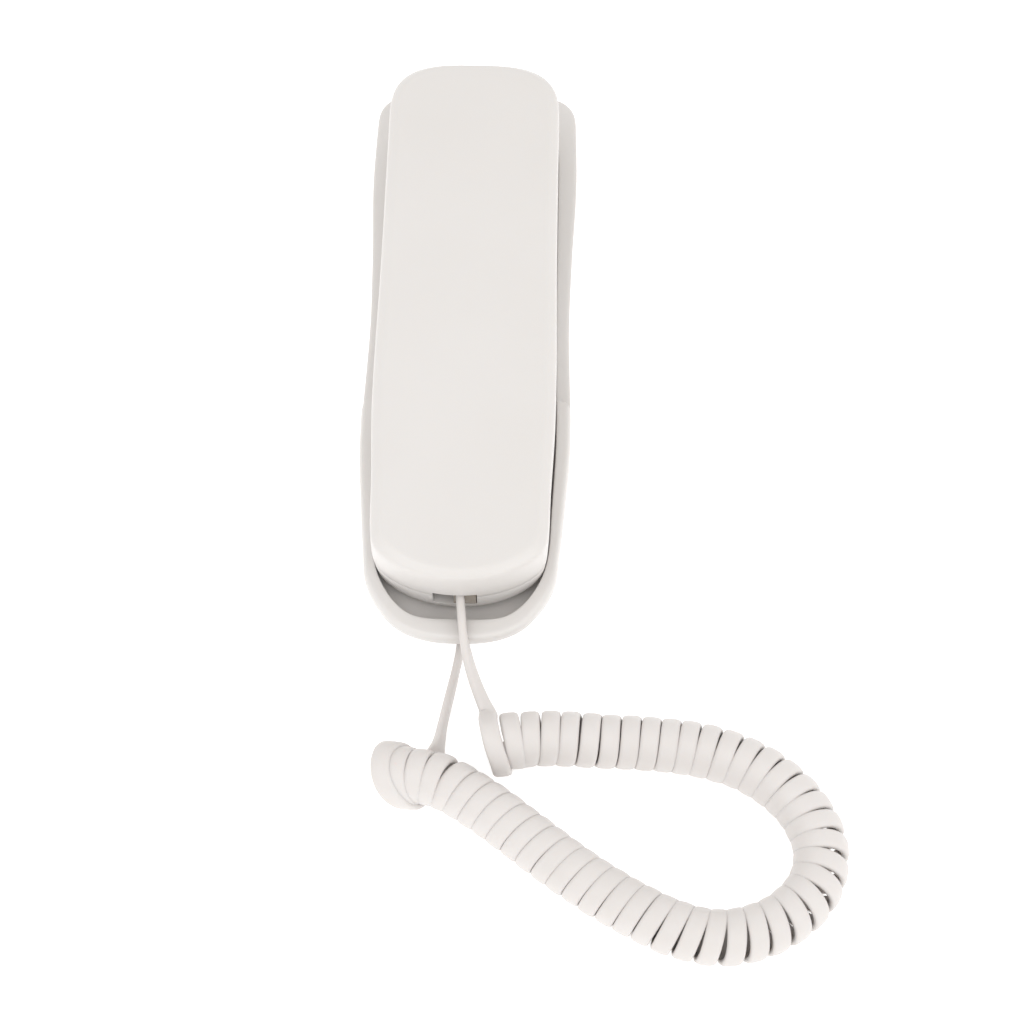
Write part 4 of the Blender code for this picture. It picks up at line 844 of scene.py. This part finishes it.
def build_base():
    build_casing()
    build_plate()
    build_feet()
    for number, (x, y) in enumerate(plate_screw_places(), 1):
        screw("plate_screw_%d" % number, x, y, 2.6 * MM, 6.5 * MM, "base", "base_screw_%d" % number)
    contacts = []
    for column in range(4):
        x = (-1.53 + 1.02 * column) * MM
        contacts.append([(x, 82.5 * MM, 5.0 * MM), (x, 84.5 * MM, 5.1 * MM), (x, 88.6 * MM, 7.2 * MM),
                         (x, 89.4 * MM, 6.6 * MM)])
    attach(build_wires("line_contacts", contacts, 0.2 * MM, GOLD), "base")


build_base()


# ---------------------------------------------------------------- handset

def below_top(drop):
    return lambda y: handset_top(y) - drop


def handset_slot():
    """Cutters for the cord socket's opening, which has a shallow lip along its top."""
    x, z = HANDSET_SLOT
    width, height = SLOT
    lip = 1.3 * MM
    face = HANDSET_TOE + 2.0 * MM
    return [upright_slot(x, z - 0.3 * MM, width, height - 1.5 * lip, HANDSET_TOE - 3.0 * MM, face + 0.2 * MM),
            upright_slot(x, z, width, height, face, HANDSET_TOE + 7.1 * MM)]


def build_cover():
    wall = HANDSET_WALL
    rings = [at_height(handset_outline(wall + 1.8 * MM, wall + 2.4 * MM, wall + 1.4 * MM), below_top(wall)),
             at_height(handset_outline(wall + 0.3 * MM, wall + 1.4 * MM, wall + 0.7 * MM), HANDSET_SPLIT)]
    outer = [(0.33, 1.4, 0.72, 24.0), (0.27, 1.3, 0.62, 24.12), (0.14, 0.98, 0.35, 25.8),
             (0.03, 0.62, 0.08, 27.6),
             (0.0, 0.4, 0.0, 29.0), (0.0, 0.28, 0.0, 31.0)]
    rings += [at_height(handset_outline(a * MM, b * MM, c * MM), z * MM) for a, b, c, z in outer]
    upper = [(0.0, 0.14, 0.0, 5.0), (0.0, 0.1, 0.0, 3.2), (0.06, 0.12, 0.04, 2.2),
             (0.24, 0.2, 0.16, 1.7), (0.5, 0.4, 0.34, 1.34),
             (0.95, 0.8, 0.62, 0.98), (1.5, 1.3, 0.95, 0.62), (2.1, 1.85, 1.3, 0.3),
             (2.5, 2.25, 1.55, 0.13), (3.0, 2.75, 1.95, 0.03),
             (3.8, 3.6, 2.8, 0.0)]
    rings += [at_height(handset_outline(a * MM, b * MM, c * MM), below_top(d * MM)) for a, b, c, d in upper]
    cover = finish_mesh("handset_cover", loft(rings), WHITE, 40.0)
    for cutter in handset_slot():
        combine(cover, 'DIFFERENCE', [cutter], 40.0)
    return mount(cover, "handset", "white_plastic", "handset_outer_shell")


def key_places():
    names = [["1", "2", "3"], ["4", "5", "6"], ["7", "8", "9"], ["star", "0", "hash"],
             ["flash", "redial", "mute"]]
    top = UPPER_SCREW_Y - 4.7 * MM
    pitch = (top - (LOWER_SCREW_Y + 4.7 * MM)) / len(names)
    return [(name, (1 - column) * KEY_COLUMN_PITCH, top - pitch * (row + 0.5))
            for row, line in enumerate(names) for column, name in enumerate(line)]


def build_face():
    face = HANDSET_FACE
    wall = HANDSET_WALL
    top = HANDSET_SPLIT - 0.12 * MM
    rings = [at_height(handset_outline(wall + 1.4 * MM, wall + 3.2 * MM, wall + 1.8 * MM), HANDSET_INSIDE),
             at_height(handset_outline(wall + 0.4 * MM, wall + 1.5 * MM, wall + 0.8 * MM), top),
             at_height(handset_outline(0.38 * MM, 1.45 * MM, 0.78 * MM), top)]
    outer = [(0.34, 1.44, 0.78, 23.7), (0.5, 1.7, 0.98, 21.6), (0.75, 1.98, 1.28, 19.6),
             (1.0, 2.1, 1.6, 18.0), (1.3, 2.35, 1.95, 17.2),
             (1.75, 2.9, 2.35, 16.65), (2.2, 3.6, 2.8, 16.4), (3.0, 4.3, 3.5, 16.3)]
    rings += [at_height(handset_outline(a * MM, b * MM, c * MM), z * MM) for a, b, c, z in outer]
    shell = finish_mesh("handset_face", loft(rings), WHITE, 40.0)
    ear = RECEIVER_RING
    ear_ring = turned(0.0, RECEIVER_Y,
                      [(0.0, face + 0.7 * MM), (ear, face + 0.7 * MM), (ear, face - RECEIVER_DROP + 0.9 * MM),
                                        (ear - 0.25 * MM, face - RECEIVER_DROP + 0.35 * MM),
                       (ear - 0.8 * MM, face - RECEIVER_DROP),
                                        (ear - 2.4 * MM, face - RECEIVER_DROP),
                       (ear - 4.0 * MM, face - RECEIVER_DROP + 0.35 * MM),
                                        (ear - 8.0 * MM, face - 1.35 * MM), (0.0, face - 1.0 * MM)], 96)
    mouth_ring = turned(0.0, MIC_Y, [(0.0, face + 0.7 * MM), (MIC_RING, face + 0.7 * MM),
                                     (MIC_RING, face - MIC_DROP + 0.6 * MM),
                                     (MIC_RING - 0.2 * MM, face - MIC_DROP + 0.2 * MM),
                                     (MIC_RING - 0.6 * MM, face - MIC_DROP),
                                     (0.0, face - MIC_DROP)], 72)
    combine(shell, 'UNION', [ear_ring, mouth_ring], 40.0)
    cuts = [block(x, y, KEY_SIZE[0] + 0.8 * MM, KEY_SIZE[1] + 0.8 * MM, face - 1.0 * MM,
                  HANDSET_INSIDE + 0.4 * MM, 1.6 * MM)
            for name, x, y in key_places()]
    for y in (UPPER_SCREW_Y, LOWER_SCREW_Y):
        cuts.append(turned(0.0, y, [(0.0, face - 1.0 * MM), (2.9 * MM, face - 1.0 * MM),
                                    (2.9 * MM, face + 1.8 * MM),
                                    (1.4 * MM, face + 1.8 * MM), (1.4 * MM, face + 4.3 * MM),
                                    (0.0, face + 4.3 * MM)], 32))
    cuts.append(block(0.0, LUG_Y, 9.8 * MM, 2.8 * MM, face - RECEIVER_DROP - 1.0 * MM,
                      HANDSET_INSIDE + 1.0 * MM, 0.5 * MM))
    for count, radius in ((1, 0.0), (6, 3.6), (12, 7.2)):
        for step in range(count):
            angle = 2.0 * math.pi * step / count
            cuts.append(drum(radius * MM * math.cos(angle), RECEIVER_Y + radius * MM * math.sin(angle),
                             0.85 * MM,
                             face - 3.0 * MM, HANDSET_INSIDE + 0.2 * MM, 16))
    for row in range(5):
        cuts.append(block(0.0, MIC_Y + (row - 2) * 2.6 * MM, (10.0 - 2.2 * abs(row - 2)) * MM, 1.0 * MM,
                          face - 3.0 * MM,
                          HANDSET_INSIDE + 0.2 * MM, 0.45 * MM))
    combine(shell, 'DIFFERENCE', cuts, 40.0)
    for cutter in handset_slot():
        combine(shell, 'DIFFERENCE', [cutter], 40.0)
    return mount(shell, "handset", "white_plastic", "handset_inner_shell")


def build_keys():
    face = HANDSET_FACE - KEY_PROUD
    signs = {"star": "*", "hash": "#"}
    for name, x, y in key_places():
        width, height = KEY_SIZE
        sections = []
        for inset, z in ((2.6, 0.16), (1.5, 0.06), (0.9, 0.0), (0.45, 0.06), (0.15, 0.25), (0.0, 0.55)):
            plan = rounded(x, y, width - 2 * inset * MM, height - 2 * inset * MM, max(1.6 - inset, 0.6) * MM)
            sections.append((plan, face + z * MM))
        sections.append((rounded(x, y, width, height, 1.6 * MM), HANDSET_INSIDE + 0.3 * MM))
        sections.append((rounded(x, y, width + 1.6 * MM, height + 1.6 * MM, 1.8 * MM),
                         HANDSET_INSIDE + 0.3 * MM))
        sections.append((rounded(x, y, width + 1.6 * MM, height + 1.6 * MM, 1.8 * MM),
                         HANDSET_INSIDE + 1.1 * MM))
        key = finish_mesh("keycap_" + name, stack(sections), KEY_WHITE)
        mount(key, "key_" + name, "key_plastic", "key_" + name)
        sign = signs.get(name, name)
        if len(sign) > 1:
            mark = finish_mesh("mark_" + name,
                               block(x, y, 3.6 * MM, 0.7 * MM, face + 0.1 * MM, face + 0.3 * MM,
                                     0.3 * MM), INK)
        else:
            text = bpy.data.curves.new("numeral_" + name, 'FONT')
            text.body = sign
            text.size = 4.6 * MM
            text.extrude = 0.06 * MM
            text.align_x = 'CENTER'
            text.align_y = 'CENTER'
            letter = bpy.data.objects.new("lettering", text)
            letter.rotation_euler = (0.0, math.pi, 0.0)
            letter.location = (x, y, face + 0.17 * MM)
            bpy.context.scene.collection.objects.link(letter)
            bpy.context.view_layer.update()
            graph = bpy.context.evaluated_depsgraph_get()
            mesh = bpy.data.meshes.new_from_object(letter.evaluated_get(graph))
            mesh.transform(letter.matrix_world)
            mesh.name = "numeral_" + name
            mesh.materials.clear()
            mesh.materials.append(INK)
            bpy.data.objects.remove(letter, do_unlink=True)
            mark = bpy.data.objects.new("numeral_" + name, mesh)
            bpy.context.scene.collection.objects.link(mark)
        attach(mark, "key_" + name)


build_cover()
build_face()
build_keys()
screw("casing_screw_1", 0.0, UPPER_SCREW_Y, HANDSET_FACE + 1.8 * MM, 8.0 * MM, "handset", "handset_screw_1")
screw("casing_screw_2", 0.0, LOWER_SCREW_Y, HANDSET_FACE + 1.8 * MM, 8.0 * MM, "handset", "handset_screw_2")


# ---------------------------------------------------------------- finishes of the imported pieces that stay

FINISHES = {
    "base_circuit_board": BOARD, "keypad_board": BOARD, "ringer_speaker": DARK, "receiver_capsule": DARK,
    "hook_switch_body": DARK, "line_jack": DARK, "base_cord_jack": INNER_WHITE,
            "handset_cord_jack": INNER_WHITE,
    "base_plug": CLEAR, "handset_plug": CLEAR, "handset_hook_tab": WHITE, "hook_switch_plunger": WHITE,
    "hook_spring": STEEL, "microphone_capsule": STEEL, "handset_weight": CAST,
            "microphone_boot": BLACK_RUBBER,
    "keypad_membrane": MAT_RUBBER, "ringer_volume_knob": KNOB, "tone_pulse_knob": KNOB,
}
EASED = {"line_jack": 0.2, "base_cord_jack": 0.15, "handset_cord_jack": 0.15, "handset_hook_tab": 0.4,
         "ringer_volume_knob": 0.3, "tone_pulse_knob": 0.3, "base_plug": 0.2, "handset_plug": 0.2,
         "handset_weight": 0.3,
         "base_circuit_board": 0.1, "keypad_board": 0.1}

for node, material in FINISHES.items():
    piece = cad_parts[node]
    piece.data.materials.clear()
    piece.data.materials.append(material)
    if node in EASED:
        modifier = piece.modifiers.new("Eased edges", 'BEVEL')
        modifier.width = EASED[node] * MM
        modifier.segments = 3
        modifier.limit_method = 'ANGLE'
        modifier.angle_limit = math.radians(40.0)
        modifier.harden_normals = False


# ---------------------------------------------------------------- floor, light and sky

def area_light(name, place, target, size, power):
    data = bpy.data.lights.new(name, 'AREA')
    data.shape = 'DISK'
    data.size = size
    data.energy = power
    light = bpy.data.objects.new(name, data)
    light.location = place
    light.rotation_euler = (Vector(target) - Vector(place)).to_track_quat('-Z', 'Y').to_euler()
    bpy.context.scene.collection.objects.link(light)


def set_stage():
    mesh = bpy.data.meshes.new("floor")
    reach = 6.0
    mesh.from_pydata([(-reach, -reach, 0.0), (reach, -reach, 0.0), (reach, reach, 0.0),
                      (-reach, reach, 0.0)], [], [(0, 1, 2, 3)])
    material, tree, shader, place = node_material("floor_look")
    shader.inputs["Base Color"].default_value = (0.96, 0.96, 0.96, 1.0)
    shader.inputs["Roughness"].default_value = 0.9
    shader.inputs["Specular IOR Level"].default_value = 0.1
    shader.inputs["Emission Color"].default_value = (1.0, 1.0, 1.0, 1.0)
    shader.inputs["Emission Strength"].default_value = 0.36
    mesh.materials.append(material)
    floor = bpy.data.objects.new("floor", mesh)
    bpy.context.scene.collection.objects.link(floor)
    world = bpy.data.worlds.new("sky")
    world.use_nodes = True
    background = world.node_tree.nodes["Background"]
    background.inputs["Color"].default_value = (1.0, 1.0, 1.0, 1.0)
    background.inputs["Strength"].default_value = 1.08
    bpy.context.scene.world = world
    area_light("key_light", (-0.45, -0.55, 1.35), (0.0, -0.03, 0.02), 1.3, 4.0)
    area_light("fill_light", (0.75, -0.7, 0.9), (0.0, -0.05, 0.02), 1.1, 3.0)
    bpy.context.scene.view_settings.view_transform = 'Standard'
    bpy.context.scene.view_settings.look = 'None'


set_stage()
